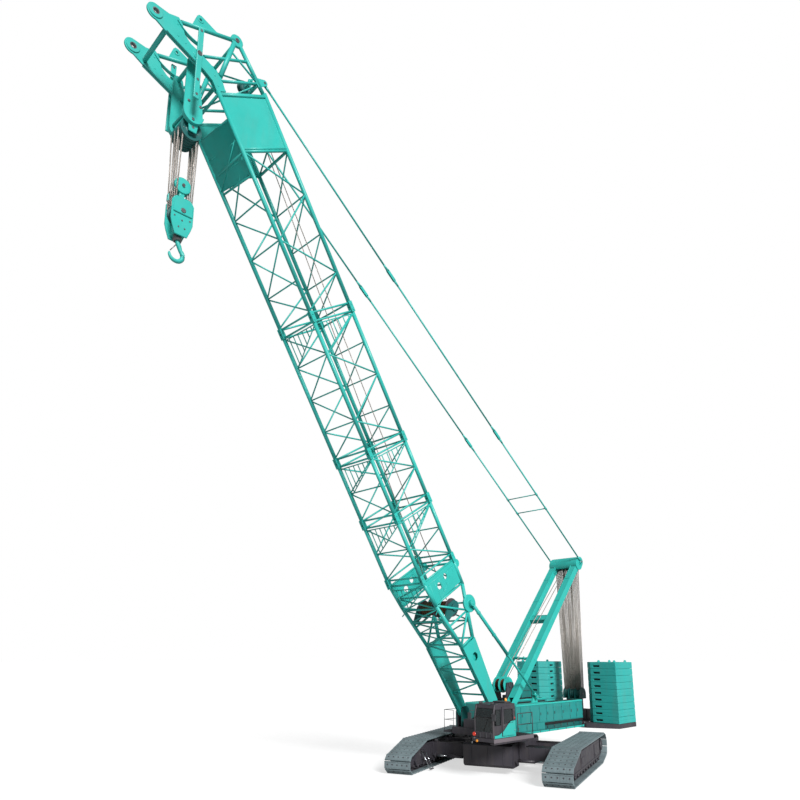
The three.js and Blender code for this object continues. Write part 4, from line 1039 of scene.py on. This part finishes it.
def backstops():
    tubes, rods = Part(BACKSTOP), Part(BACKSTOP)
    y = 1.3
    tubes.disc((0, 0), y - 0.09, y + 0.09, 0.148, 0.066)
    barrel = tubes.at(BACKSTOP @ Matrix.Translation((0, y, 0)) @ Matrix.Rotation(-math.pi / 2, 4, "Z"))
    barrel.turned([(0.068, 0.5), (0.068, 3.6), (0.084, 3.6), (0.084, 0.14), (0, 0.1), (0, 0.48),
                   (0.068, 0.5)], segments=24)
    for x in (0.6, 2.1, 3.52):
        barrel.turned([(0.08, x), (0.098, x), (0.1, x + 0.01), (0.1, x + 0.07), (0.098, x + 0.08),
                       (0.08, x + 0.08)], segments=24)
    end = BACKSTOP_LENGTH
    rods.bar((1.9, y, 0), (end - 0.08, y, 0), 0.054, 18)
    rods.bar((end - 0.3, y, 0), (end - 0.08, y, 0), 0.07, 16, tip=0.075)
    rods.disc((end, 0), y - 0.07, y + 0.07, 0.1, segments=24)
    rods.disc((end, 0), y - 0.078, y + 0.078, 0.045, 0, 0.008, 1, 16)
    for part, name, finishes in ((tubes, "tube", [TEAL]), (rods, "rod", [TEAL, BARE])):
        part.mirror()
        part.finish(f"backstop_{name}s", f"backstop_{name}s", finishes, "teal_paint",
                    [f"backstop_{name}_left", f"backstop_{name}_right"])


def luffing_ropes():
    """Wide band of luffing falls from mast crown to spreader, and the lead lines between the mast legs."""
    crown = MAST @ Vector((MAST_LENGTH - 0.1, 0, 0.1))
    cx, cz = flat(crown)
    part = Part()
    for pack in (-0.48, 0.0, 0.48):
        for i in range(5):
            y = pack + (i - 2) * 0.092
            for x in (-0.14, 0.14):
                part.bar((cx + x, y, cz), (-6.95 + x * 1.1, y * 0.76, 3.25), 0.03, 6)
    ropes = part.finish("luffing_falls", None, [ROPE], "rope_coil")
    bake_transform(ropes)
    part = Part()
    for y in (-0.16, 0.2):
        part.bar((-0.25, y, 4.15), (cx + 0.1, y * 0.6, cz - 0.05), 0.02, 6)
    leads = part.finish("luffing_leads", None, [ROPE], "rope_coil")
    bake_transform(leads)


# ------------------------------------------------------------------ upper works

DECK_TOP, HOUSE_TOP = 1.74, 3.03
HOUSE_REAR, HOUSE_FRONT = -5.1, 0.95


def door_panel(part, x0, x1, z0, z1, y, out, handle=True, vents=0):
    """Sheet door standing out from a wall that faces +Y or -Y, with hinges, a latch and louvres."""
    face = y + out * 0.028
    part.block((x0, y, z0), (x1, face, z1), 0.009)
    if handle:
        middle = (z0 + z1) / 2
        part.block((x1 - 0.1, face, middle - 0.07), (x1 - 0.06, face + out * 0.02, middle + 0.07), 0.006, 1)
        x, y = x0 + 0.006, face + out * 0.006
        for z in (z0 + 0.14, z1 - 0.14):
            part.bar((x, y, z - 0.04), (x, y, z + 0.04), 0.011, paint=1)
    for i in range(vents):
        z = z1 - 0.12 - i * 0.055
        part.block((x0 + 0.1, face - out * 0.004, z - 0.012), (x1 - 0.14, face + out * 0.014, z + 0.012),
                   0.004)


def machinery_house():
    """Cabinets down both sides of the deck: doors over a dark sill, a lipped top and louvres. The walls and
    doors are a darker copy of the teal, painted shade; the sill is deep teal under a black strip, painted
    shade and a painted shadow.
    """
    part = Part()
    low, sill_end = DECK_TOP + 0.003, -1.46
    for side, inner in ((1, 1.0), (-1, -0.68)):
        outer = side * 1.57
        part.block((HOUSE_REAR, inner, 2.08), (HOUSE_FRONT, outer, HOUSE_TOP - 0.05), 0.012)
        part.block((-1.45, side, low), (HOUSE_FRONT, outer, 2.09), 0.008)
        # The recessed sill is deep teal, painted shade under the cabinets, and the black strip along its top
        # is a painted shadow of the overhang.
        part.block((HOUSE_REAR + 0.02, inner + side * 0.02, low), (sill_end, side * 1.48, 2.1), paint=4)
        part.block((HOUSE_REAR + 0.01, side * 1.47, 1.97), (sill_end, side * 1.56, 2.082), paint=2)
        part.block((HOUSE_REAR, inner, HOUSE_TOP - 0.1), (HOUSE_FRONT, side * 1.6, HOUSE_TOP - 0.002), 0.045,
                   3)
        x = -5.04
        for i, width in enumerate((0.62, 0.62, 0.78, 0.78) * 2):
            door_panel(part, x, x + width - 0.03, 2.12, 2.92, outer, side, vents=6 if i in (2, 3) else 0)
            x += width + 0.005
        for x0, x1 in ((-1.42, -0.75), (-0.7, 0.1), (0.13, 0.92)):
            door_panel(part, x0, x1, low + 0.04, 2.09, outer, side, x0 > 0)
        for i in range(6):
            x = -4.9 + i * 0.62
            part.bar((x, side * 1.49, 1.8), (x, side * 1.49, 1.97), 0.018, paint=1)
    for y0, y1, paint in ((-0.72, -1.5, 2), (1.08, 1.5, 1)):
        y0, y1 = sorted((y0, y1))
        for x0, x1 in ((-4.8, -3.5), (-3.3, -2.1)):
            part.block((x0, y0, HOUSE_TOP - 0.03), (x1, y1, HOUSE_TOP - 0.001), 0.01, paint)
            for i in range(12):
                x = x0 + 0.06 + (x1 - x0 - 0.12) * i / 11
                part.block((x - 0.014, y0 + 0.03, HOUSE_TOP - 0.01),
                           (x + 0.014, y1 - 0.03, HOUSE_TOP + 0.012), 0.004, 2)
    # Black sheet on the right cabinet's inner wall: painted shade in the gap between the cabinets.
    part.block((-4.9, -0.682, 2.4), (-1.5, -0.66, 2.9), 0.004, 2)
    part.finish("machinery_cabinets", "upper_works", [SIDES_SHADED_TEAL, CHARCOAL_AND_SHADE, BLACK_RUBBER_AND_SHADE, TEAL, DEEP_TEAL_AND_SHADE], "teal_paint",
                ["machinery_house_left", "machinery_house_right", "engine_block"])

    part = Part(upright(-2.6, -0.86))
    part.turned([(0, 2.0), (0.11, 2.0), (0.11, 3.35), (0.1, 3.4), (0.085, 3.4), (0.085, 2.5), (0, 2.5)],
                segments=20)
    part.at(upright(-1.6, -0.9)).turned([(0, 3.0), (0.17, 3.0), (0.18, 3.02), (0.18, 3.28), (0.17, 3.3),
                                         (0, 3.32)], segments=24)
    part.finish("exhaust_and_intake", "upper_works", [CHARCOAL_AND_SHADE], "dark_paint")


def deck_trim():
    part = Part()
    for i in range(8):
        x = -4.9 + i * 0.78
        part.block((x, 1.6, 1.65), (x + 0.05, 1.62, 1.735), 0.004)
    for x in (-7.2, -6.2, -5.4):
        part.block((x, 0.6005, 1.8), (x + 0.05, 0.625, 2.34), 0.004)
    part.disc((1.75, 2.64), 1.272, 1.3, 0.13, paint=1, segments=24)
    part.disc((0.35, 2.75), 0.9, 0.93, 0.12, paint=1, segments=24)
    for x in (1.55, 1.95):
        part.bar((x, 1.272, 2.1), (x, 1.29, 2.1), 0.025, 6, 1)
    part.disc((-0.2, 3.9), 0.447, 0.5, 0.15, edge=0.015, segments=24)
    part.mirror()
    for y in (-0.5, 0.0, 0.5):
        part.bar((-4.9, y, 2.36), (0.6, y, 2.36), 0.02, paint=1)
    for x in (-4.2, -2.8, -1.4):
        part.block((x, -0.55, 2.351), (x + 0.3, 0.55, 2.42), 0.015)
    part.block((-0.75, -0.38, 2.36), (0.3, 0.38, 2.9), 0.03)
    for x in (-0.5, -0.1):
        part.bar((x, -0.39, 3.2), (x, 0.39, 3.2), 0.035, 12)
    part.finish("deck_fittings", "upper_works", [CHARCOAL_AND_SHADE, BARE], "dark_paint")

    part = Part()
    part.block((HOUSE_REAR, 1.601, 1.642), (HOUSE_FRONT, 1.615, 1.738), 0.004)
    part.mirror()
    part.finish("deck_edges", "upper_works", [TEAL], "teal_paint")

    part = Part()
    ear = [(1.47, 1.952), (2.03, 1.952), (2.03, 2.64)] + arc(1.75, 2.64, 0.28, 30, 150, 8) + [(1.47, 2.64)]
    for y0, y1 in ((0.862, 0.8695), (1.2705, 1.278)):
        part.plate(ear, y0, y1)
    for y0, y1 in ((0.865, 0.93), (1.21, 1.275)):
        part.block((2.0305, y0, 1.952), (2.038, y1, 2.64))
    part.mirror()
    part.finish("boom_foot_ears", "upper_works", [DEEP_TEAL_AND_SHADE], "teal_paint")

    part = Part()
    for y in (-0.52, -0.2, 0.2, 0.52):
        part.plate([(-7.3, 2.93), (-6.6, 2.93), (-6.6, 3.2)] + arc(-6.95, 3.2, 0.35, 0, 180, 12), y - 0.02,
                   y + 0.02)
    part.bar((-6.95, -0.56, 3.2), (-6.95, 0.56, 3.2), 0.07, 18, 1)
    part.block((-7.2, -0.4, 2.355), (-6.7, 0.4, 2.95), 0.02)
    part.finish("spreader_frame", "upper_works", [DEEP_TEAL_AND_SHADE, BARE], "teal_paint", ["boom_hoist_spreader"])

    part = Part()
    for y in (-0.36, 0.0, 0.36):
        part.at(SLEW @ Matrix.Translation((-6.95, y, 3.2))).sheaves((0, 0), 0.3, 0.12, 2, 0.071)
    part.finish("spreader_sheaves", "upper_works", [DEEP_TEAL_AND_SHADE], "teal_paint")

    part = Part()
    part.plate([(-1.51, 3.032), (-0.99, 3.032)] + arc(-1.25, 3.31, 0.11, 0, 180, 10), 1.1, 1.18)
    for x in (-1.42, -1.08):
        part.bar((x, 1.14, 3.03), (x, 1.14, 3.06), 0.028, 6, 1)
    part.disc((-1.25, 3.31), 1.09, 1.195, 0.07, 0, 0.01, 1, 20)
    part.mirror()
    part.finish("backstop_feet", "upper_works", [TEAL, BARE], "teal_paint",
                ["backstop_bracket_left", "backstop_bracket_right"])


def counterweights():
    """Tray with two stacks of cast slabs; each slab has lifting slots in its front and inner faces."""
    part = Part()
    front, rear, inner, outer, chamfer = -5.93, -7.8, 1.3, 3.22, 0.4
    base, top, count = 1.795, 4.985, 9
    height = (top - base) / count
    nose = [(front - chamfer, inner), (front, inner + chamfer)]
    back = [(front, outer), (rear, outer), (rear, inner)]
    slots = ([(front, 1.86), (front - 0.09, 1.86), (front - 0.09, 2.27), (front, 2.27)],
             [(-6.86, inner), (-6.86, inner + 0.09), (-6.52, inner + 0.09), (-6.52, inner)])
    notched = nose + slots[0] + back + slots[1]
    for i in range(count):
        z = base + i * height
        part.slab(nose + back, z + 0.006, z + 0.085, 0.01)
        part.slab(notched, z + 0.08, z + 0.19)
        part.slab(nose + back, z + 0.185, z + height - 0.004, 0.01)
        # Black plates at the back of the lifting slots: painted shade inside the slots.
        part.block((front - 0.088, 1.87, z + 0.08), (front - 0.075, 2.26, z + 0.19), paint=1)
        part.block((-6.85, inner + 0.075, z + 0.08), (-6.53, inner + 0.088, z + 0.19), paint=1)
    for x in (-6.25, -7.45):
        lug = shifted([(-0.12, -0.02), (0.12, -0.02), (0.1, 0.07), (0, 0.11), (-0.1, 0.07)], x, top)
        for y in (2.06, 3.0):
            part.plate(lug, y - 0.025, y + 0.025, 0.008)
    part.mirror()
    part.finish("counterweight_slabs", "upper_works", [SLAB, BLACK_RUBBER_AND_SHADE], "teal_paint",
                ["counterweight_left", "counterweight_right"])

    part = Part()
    for x in (-6.1, -7.6):
        part.block((x - 0.05, 3.22, 1.6), (x + 0.05, 3.23, 1.76), 0.006)
    for y in (1.5, 2.0, 2.5, 3.0):
        part.block((-7.816, y - 0.03, 1.6), (-7.801, y + 0.03, 1.76), 0.004)
    for x in (-5.4, -5.9):
        part.bar((x, 1.45, 1.79), (x, 1.45, 1.84), 0.05, 6, 1)
    part.mirror()
    part.finish("weight_tray_trim", "upper_works", [CHARCOAL_AND_SHADE, BARE], "dark_paint")


def frame_round(part, low, high, y0, y1, paint=0):
    """Four narrow strips round an opening between two (x, z) corners."""
    (x0, z0), (x1, z1), width = low, high, 0.022
    for xa, za, xb, zb in ((x0 - width, z0 - width, x1 + width, z0), (x0 - width, z1, x1 + width, z1 + width),
                           (x0 - width, z0, x0, z1), (x1, z0, x1 + width, z1)):
        part.block((xa, y0, za), (xb, y1, zb), 0.003, paint)


def cab_crest(x):
    """Height of the S-shaped upper edge of the teal panel low on the cab's side."""
    t = min(1, max(0, (3.62 - x) / 1.05))
    return 1.95 + 0.56 * t * t * (3 - 2 * t)


def cab_sweep(x0, x1, bottom):
    """Outline of that panel between x0 and x1."""
    return [(x0, bottom)] + [(x, cab_crest(x))
                             for x in (x0 + (x1 - x0) * i / 16 for i in range(17))] + [(x1, bottom)]


def crest_line(part, y, stations):
    """Dark bead along the panel's upper edge."""
    part.rail([(x, y, cab_crest(x) + 0.012) for x in stations], 0.011, 1)


def cab_trim():
    """Pillars, panels, roof, glass, seals, wipers, lamps, rails and mirrors of the cab."""
    part = Part()
    rear, right, left, wall = 2.27, 1.4, 2.5, 0.05
    for y0, y1 in ((right, right + 0.09), (left - 0.09, left)):
        part.plate([(3.8, 1.83), (3.9, 1.83), (3.9, 2.7), (3.77, 3.24), (3.66, 3.24), (3.8, 2.7)], y0, y1,
                   0.025)
        part.block((rear, y0, 1.83), (2.42, y1, 3.24), 0.03)
    for corner, opposite, edge in (
            # floor, front and rear walls
            ((rear, right, 1.821), (3.9, left, 1.87), 0.012),
            ((3.84, right + wall, 1.83), (3.9, left - wall, 2.08), 0.02),
            ((rear, right + wall, 1.83), (2.32, left - wall, 2.55), 0.01),
            ((rear, right + wall, 2.5), (2.32, 1.62, 3.1), 0.01),
            ((rear, 2.28, 2.5), (2.32, left - wall, 3.1), 0.01),
            ((rear, right + wall, 3.03), (2.32, left - wall, 3.22), 0.01),
            # right side
            ((2.4, right, 1.83), (3.82, right + wall, 2.4), 0.012),
            ((2.38, right + 0.002, 2.38), (2.62, right + wall, 3.1), 0.012),
            ((3.64, right + 0.002, 2.38), (3.76, right + wall, 3.1), 0.012),
            ((2.38, right, 3.06), (3.72, right + wall, 3.22), 0.012),
            # left side, round the door
            ((3.24, left - wall, 1.83), (3.83, left, 2.35), 0.012),
            ((3.24, left - wall, 2.33), (3.34, left, 3.05), 0.01),
            ((2.4, left - wall, 1.83), (3.26, left, 1.96), 0.01),
            ((2.38, left - wall, 1.94), (2.48, left, 3.1), 0.01),
            ((2.38, left - wall, 3.03), (3.72, left, 3.22), 0.012),
            # roof, round its window, and the header over the windscreen
            ((rear, right, 3.185), (2.82, left, 3.249), 0.03),
            ((3.42, right, 3.185), (3.76, left, 3.249), 0.03),
            ((2.8, right, 3.185), (3.44, 1.62, 3.249), 0.03), ((2.8, 2.28, 3.185), (3.44, left, 3.249), 0.03),
            ((3.66, right + 0.08, 3.06), (3.78, left - 0.08, 3.2), 0.02)):
        part.block(corner, opposite, edge)
    part.finish("cab_shell_panels", "upper_works", [CHARCOAL_AND_SHADE], "dark_paint", ["cab_shell"])

    part = Part()
    for corner, opposite in (
            ((3.345, 2.47, 2.355), (3.705, 2.478, 3.025)), ((2.625, 1.412, 2.405), (3.635, 1.42, 3.055)),
            ((2.28, 1.625, 2.555), (2.288, 2.275, 3.025)), ((2.825, 1.625, 3.225), (3.415, 2.275, 3.233))):
        part.block(corner, opposite, 0.002)
    screen = [(3.888, 2.081), (3.888, 2.7), (3.803, 3.059)]
    part.plate(screen + shifted(screen[::-1], -0.012, 0), 1.495, 2.405)
    part.finish("cab_panes", "upper_works", [GLASS], "glass", ["cab_windscreen"])

    part = Part()
    frame_round(part, (3.36, 2.37), (3.69, 3.01), 2.495, 2.503)
    frame_round(part, (2.64, 2.42), (3.62, 3.04), 1.393, 1.402)
    part.block((3.885, 1.5, 2.68), (3.897, 2.4, 2.72), 0.003)
    part.bar((3.895, 1.95, 2.1), (3.895, 2.2, 2.66), 0.008)
    part.bar((3.88, 1.7, 2.75), (3.82, 1.95, 2.98), 0.008)
    part.finish("cab_seals_and_wipers", "upper_works", [BLACK_RUBBER_AND_SHADE], "dark_paint")

    part = Part()
    for outline in (
            cab_sweep(2.272, 2.415, 1.826), oblong(2.415, 1.826, 3.3, 1.894), cab_sweep(3.305, 3.83, 1.826)):
        part.plate(outline, 2.5005, 2.504)
    crest_line(part, 2.509, (3.8, 3.7, 3.6, 3.5, 3.42, 3.35))
    part.finish("cab_sweep_panel", "upper_works", [TEAL, BLACK_RUBBER_AND_SHADE], "teal_paint")

    part = Part()
    for y in (1.5, 2.4):
        part.bar((2.4, y, 3.26), (3.6, y, 3.26), 0.02)
    part.block((2.35, 1.6, 3.25), (2.75, 2.3, 3.33), 0.03)
    for y in (1.62, 2.28):
        part.block((3.6, y - 0.07, 3.25), (3.7, y + 0.07, 3.35), 0.015)
        part.bar((3.698, y, 3.305), (3.71, y, 3.305), 0.04, 14, 1)
    part.rail([(3.9, 2.46, 2.2), (3.96, 2.46, 2.22), (3.96, 2.46, 2.85), (3.85, 2.46, 2.9)], 0.014)
    for y, mirror_y in ((2.49, 2.63), (1.41, 1.27)):
        part.rail([(3.84, y, 2.95), (4.03, mirror_y, 2.95), (4.03, mirror_y, 2.86)], 0.012)
        part.block((4.01, mirror_y - 0.1, 2.58), (4.05, mirror_y + 0.1, 2.87), 0.018)
        part.block((4.004, mirror_y - 0.085, 2.595), (4.012, mirror_y + 0.085, 2.855), 0.002, 1)
    for y in (1.75, 2.1, 2.4):
        part.block((3.9, y - 0.03, 1.83), (3.93, y + 0.03, 2.05), 0.006)
    part.finish("cab_fittings", "upper_works", [PLASTIC, BARE], "dark_paint")

    part = Part()
    for y, z, radius, paint in (
            (1.47, 1.97, 0.085, 0), (1.47, 1.8, 0.055, 2), (1.62, 1.69, 0.055, 1), (1.33, 1.6, 0.05, 2)):
        facing = SLEW @ Matrix.Translation((3.95, y, z)) @ Matrix.Rotation(-math.pi / 2, 4, "Z")
        part.at(facing).disc((0, 0), 0, 0.05, radius, 0, 0.015, paint, 20)
    beacon = [(0, 3.33), (0.05, 3.33), (0.055, 3.35), (0.05, 3.44), (0.03, 3.47), (0, 3.47)]
    part.at(upright(2.55, 2.2)).turned(beacon, segments=20, paint=1)
    part.disc((2.345, 2.62), 2.5, 2.52, 0.035, edge=0.006, segments=16)
    part.finish("cab_lamps", "upper_works", [RED, AMBER, BARE], "dark_paint")


def cab_door_trim():
    part = Part()
    for x0, z0, x1, z1 in (
            (2.42, 1.9, 3.3, 2.42), (2.42, 3.03, 3.3, 3.14), (2.42, 2.4, 2.53, 3.05), (3.19, 2.4, 3.3, 3.05)):
        part.block((x0, 2.506, z0), (x1, 2.551, z1), 0.01)
    for z in (2.1, 2.95):
        part.bar((2.42, 2.5535, z - 0.05), (2.42, 2.5535, z + 0.05), 0.016, 12, 1)
    part.block((3.12, 2.551, 2.33), (3.24, 2.572, 2.39), 0.01, 1)
    frame_round(part, (2.55, 2.44), (3.17, 3.01), 2.548, 2.555, 2)
    part.finish("cab_door_skin", "cab_door", [CHARCOAL_AND_SHADE, BARE, BLACK_RUBBER_AND_SHADE], "dark_paint", ["cab_door"])

    part = Part()
    part.plate(cab_sweep(2.425, 3.295, 1.905), 2.5512, 2.5545)
    crest_line(part, 2.557, (3.28, 3.2, 3.1, 3.0, 2.9, 2.8, 2.7, 2.6, 2.44))
    part.finish("cab_door_sweep", "cab_door", [TEAL, BLACK_RUBBER_AND_SHADE], "teal_paint")

    part = Part()
    part.block((2.535, 2.525, 2.425), (3.185, 2.533, 3.025), 0.002)
    part.finish("door_pane", "cab_door", [GLASS], "glass")


def operator_seat():
    part = Part(SLEW @ Matrix.Translation((0, SEAT_Y, 0)))
    part.block((2.74, 0.29, 2.25), (3.3, 0.43, 2.37), 0.03)
    part.block((2.78, 0.29, 1.872), (3.1, 0.37, 2.26), 0.02)
    part.swept([(3.2, 0.36, 2.36), (3.2, 0.36, 2.45), (3.21, 0.36, 2.51), (3.22, 0.36, 2.55)],
               [0.016, 0.016, 0.028, 0.018])
    part.swept([(3.5, 0.12, 1.872), (3.47, 0.12, 2.15), (3.44, 0.12, 2.45)], [0.016, 0.016, 0.02], 10)
    part.block((3.46, 0.09, 1.88), (3.62, 0.19, 1.9), 0.006)
    part.mirror()
    part.block((2.72, -0.18, 1.872), (3.06, 0.18, 2.01), 0.02)
    for i in range(4):
        part.block((2.74, -0.17, 2.01 + i * 0.034), (3.04, 0.17, 2.035 + i * 0.034), 0.01)
    part.block((2.7, -0.2, 2.14), (3.08, 0.2, 2.165), 0.008)
    part.block((3.6, -0.45, 1.872), (3.74, -0.29, 2.4), 0.03)
    part.plate([(3.58, 2.42), (3.7, 2.4), (3.72, 2.72), (3.66, 2.74)], -0.45, -0.21, 0.01)
    part.finish("cab_controls", "upper_works", [PLASTIC], "seat_cover")

    seat = cushion("seat_cushion", (2.62, SEAT_Y - 0.25, 2.168), (3.14, SEAT_Y + 0.25, 2.268), 0.02, 2, HERE)
    foot = Matrix.Translation((2.66, 0, 2.25))
    lean = foot @ Matrix.Rotation(math.radians(-6), 4, "Y") @ foot.inverted()
    cushion("seat_back", (2.61, SEAT_Y - 0.24, 2.29), (2.71, SEAT_Y + 0.24, 2.88), 0.015, 0, lean)
    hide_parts("operator_seat")


def cushion(name, low, high, crown, flat_axis, tilt):
    """Crowned cushion with two sewn channels and sides that pull in between its corners."""
    part = Part()
    shape = part.bm
    low, high = Vector(low), Vector(high)
    middle, size = (low + high) / 2, high - low
    bmesh.ops.create_cube(shape, size=1, matrix=Matrix.Translation(middle) @ Matrix.Diagonal((*size, 1)))
    bmesh.ops.subdivide_edges(shape, edges=shape.edges[:], cuts=9, use_grid_fill=True)
    wide = [i for i in range(3) if i != flat_axis]
    for vert in shape.verts:
        share = [2 * (vert.co[i] - middle[i]) / size[i] for i in range(3)]
        bulge = (1 - share[wide[0]] ** 2) * (1 - share[wide[1]] ** 2)
        seam = 0.5 * sum(math.exp(-((share[wide[0]] - place) / 0.07) ** 2) for place in (-0.5, 0.5))
        vert.co[flat_axis] += share[flat_axis] * (crown * bulge - 0.012 * seam * (1 - share[wide[1]] ** 8))
        for i, other in (wide, wide[::-1]):
            vert.co[i] -= share[i] * 0.018 * (1 - share[other] ** 2) * abs(share[i])
    bmesh.ops.smooth_vert(shape, verts=shape.verts[:], factor=0.5, use_axis_x=True, use_axis_y=True,
                          use_axis_z=True)
    for face in shape.faces:
        face.smooth = True
    bmesh.ops.transform(shape, matrix=SLEW @ tilt, verts=shape.verts[:])
    obj = part.finish(name, "upper_works", [CLOTH], "seat_cover")
    return obj


def walkways():
    part = Part()
    part.block((1.1, -1.95, 1.655), (2.2, -1.302, 1.73), 0.01, 1)
    for i in range(13):
        x = 1.16 + i * 0.08
        part.block((x, -1.92, 1.728), (x + 0.02, -1.34, 1.742))
    posts = ((1.15, -1.93), (2.16, -1.93), (2.16, -1.33))
    for x, y in posts:
        part.bar((x, y, 1.72), (x, y, 2.72), 0.014, paint=2)
    for z in (2.24, 2.71):
        part.rail([(x, y, z) for x, y in posts], 0.013, 2)
    part.finish("right_walkway", "upper_works", [GRATING, CHARCOAL_AND_SHADE, BARE], "dark_paint", ["walkway_right"])

    part = Part()
    part.block((0.955, 1.302, 1.66), (3.95, 2.54, 1.815), 0.015)
    part.block((0.96, 2.535, 1.645), (3.94, 2.558, 1.81), 0.006, 2)
    part.block((3.94, 1.7, 1.68), (3.949, 2.5, 1.8), 0.003, 2)
    for i in range(30):
        x = 1.0 + i * 0.042
        part.block((x, 1.64, 1.813), (x + 0.012, 2.5, 1.826), paint=1)
    part.block((0.96, 2.3, 1.56), (3.9, 2.54, 1.66), 0.02)
    for x in (1.3, 2.2, 3.2):
        part.block((x, 1.35, 1.57), (x + 0.08, 2.5, 1.67), 0.01)
    part.rail([(1.0, 2.53, 1.81), (1.0, 2.53, 2.78), (2.15, 2.53, 2.78), (2.15, 2.53, 1.81)], 0.019)
    part.rail([(1.0, 2.53, 2.3), (2.15, 2.53, 2.3)], 0.016)
    part.finish("cab_platform_deck", "upper_works", [CHARCOAL_AND_SHADE, GRATING, SKIRT], "dark_paint", ["cab_platform"])

    part = Part()
    for x in (-4.9, -3.9, -2.9, -1.9):
        part.bar((x, -1.55, 3.02), (x, -1.55, 3.75), 0.017)
    for z in (3.4, 3.73):
        part.bar((-4.9, -1.55, z), (-1.9, -1.55, z), 0.016)
    part.finish("house_roof_rail", "upper_works", [CHARCOAL_AND_SHADE], "dark_paint")


def hoses():
    """Hydraulic hoses from the deck over the boom foot."""
    part = Part()
    for i, y in enumerate((-0.3, -0.22, -0.14, 0.14, 0.22)):
        lift = 0.03 * i
        part.swept([(0.95, y, 2.36), (1.1, y, 2.55 + lift), (1.35, y * 1.1, 2.62 + lift), (1.6, y * 1.2, 2.5),
                    (1.8, y * 1.2, 2.36)], [0.022] * 5, 8)
    part.finish("deck_hoses", "upper_works", [BLACK_RUBBER_AND_SHADE], "dark_paint")


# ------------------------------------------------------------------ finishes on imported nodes


def refinish_nodes():
    """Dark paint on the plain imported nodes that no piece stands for."""
    sided = [f"{name}_{side}" for name in ("track_frame", "drive_sprocket", "idler")
             for side in ("left", "right")]
    for name in ["carbody", "carbody_weight_front", "carbody_weight_rear", "revolving_frame",
                 "counterweight_tray"] + sided:
        refinish(name, CHARCOAL_AND_SHADE)


# ------------------------------------------------------------------ floor, light and camera


def floor_and_sky():
    """Pale floor that still looks pale to the camera where shadows fall, under a soft white sky."""
    bm = bmesh.new()
    bmesh.ops.create_grid(bm, x_segments=1, y_segments=1, size=400)
    mesh = bpy.data.meshes.new("studio_floor")
    bm.to_mesh(mesh)
    bm.free()
    floor = placed("studio_floor", mesh)
    floor.location.z = -0.004
    material, tree, surface = shader("pale_floor", 1.0)
    feed(tree, surface, Base_Color=grey(0.5), Specular_IOR_Level=0.0)
    camera_ray = shader_node(tree, "LightPath").outputs["Is Camera Ray"]
    glow, dark = (shader_node(tree, "Emission", Strength=strength).outputs["Emission"]
                  for strength in (0.62, 0.0))
    pick = joined(tree, "MixShader", dark, glow, Fac=camera_ray)
    total = joined(tree, "AddShader", surface.outputs["BSDF"], pick)
    feed(tree, tree.nodes["Material Output"], Surface=total)
    mesh.materials.append(material)

    world = bpy.data.worlds.new("soft_white")
    bpy.context.scene.world = world
    world.use_nodes = True
    tree = world.node_tree
    soft = feed(tree, tree.nodes["Background"], Color=grey(1.0), Strength=0.26)
    seen = shader_node(tree, "Background", Color=grey(1.0))
    rays = shader_node(tree, "LightPath")
    either = shader_node(tree, "Math")
    either.operation = "MAXIMUM"
    tree.links.new(rays.outputs["Is Camera Ray"], either.inputs[0])
    tree.links.new(rays.outputs["Is Transmission Ray"], either.inputs[1])
    pick = joined(tree, "MixShader", soft.outputs["Background"], seen.outputs["Background"],
                  Fac=either.outputs["Value"])
    feed(tree, tree.nodes["World Output"], Surface=pick)


def lamp(name, strength, angle, toward):
    light = bpy.data.lights.new(name, "SUN")
    light.energy = strength
    light.angle = math.radians(angle)
    obj = placed(name, light)
    obj.rotation_mode = "QUATERNION"
    obj.rotation_quaternion = Vector(toward).to_track_quat("-Z", "Y")


def camera():
    data = bpy.data.cameras.new("view")
    data.lens = 29.72
    data.sensor_width = 36
    data.shift_y = 0.125
    data.clip_end = 2000
    obj = placed("view", data)
    yaw, pitch = math.radians(-134.4), math.radians(13)
    look = Vector((math.cos(yaw) * math.cos(pitch), math.sin(yaw) * math.cos(pitch), math.sin(pitch)))
    obj.location = SLEW @ Vector((28.04, 21.32, 5.50))
    obj.rotation_mode = "QUATERNION"
    obj.rotation_quaternion = look.to_track_quat("-Z", "Y")
    bpy.context.scene.camera = obj


bpy.context.scene.view_settings.view_transform = "Standard"
floor_and_sky()
lamp("key_light", 4.0, 20, (-0.3, -0.82, -0.5))
camera()

crawler("left", GAUGE)
crawler("right", -GAUGE)
beam_lock_lugs()
undercarriage_trim()

inserts()
top_section()
base_section()
boom_head()
boom_ropes()
winch_drum("boom_winch", (5.7, 0.1), 0.9, 0.3, 0.43, BOOM, "boom_winch_drum", [COIL, CHARCOAL_AND_SHADE, BARE],
           "dark_paint")

hanging_frame()
hoist_falls()
hook_block()
hook()

mast()
pendants()
backstops()
luffing_ropes()

machinery_house()
deck_trim()
winch_drum("boom_hoist_winch", (-0.2, 3.9), 0.35, 0.27, 0.4, SLEW, "boom_hoist_drum", [COIL, TEAL, BARE],
           "rope_coil")
counterweights()
cab_trim()
cab_door_trim()
operator_seat()
walkways()
hoses()
refinish_nodes()
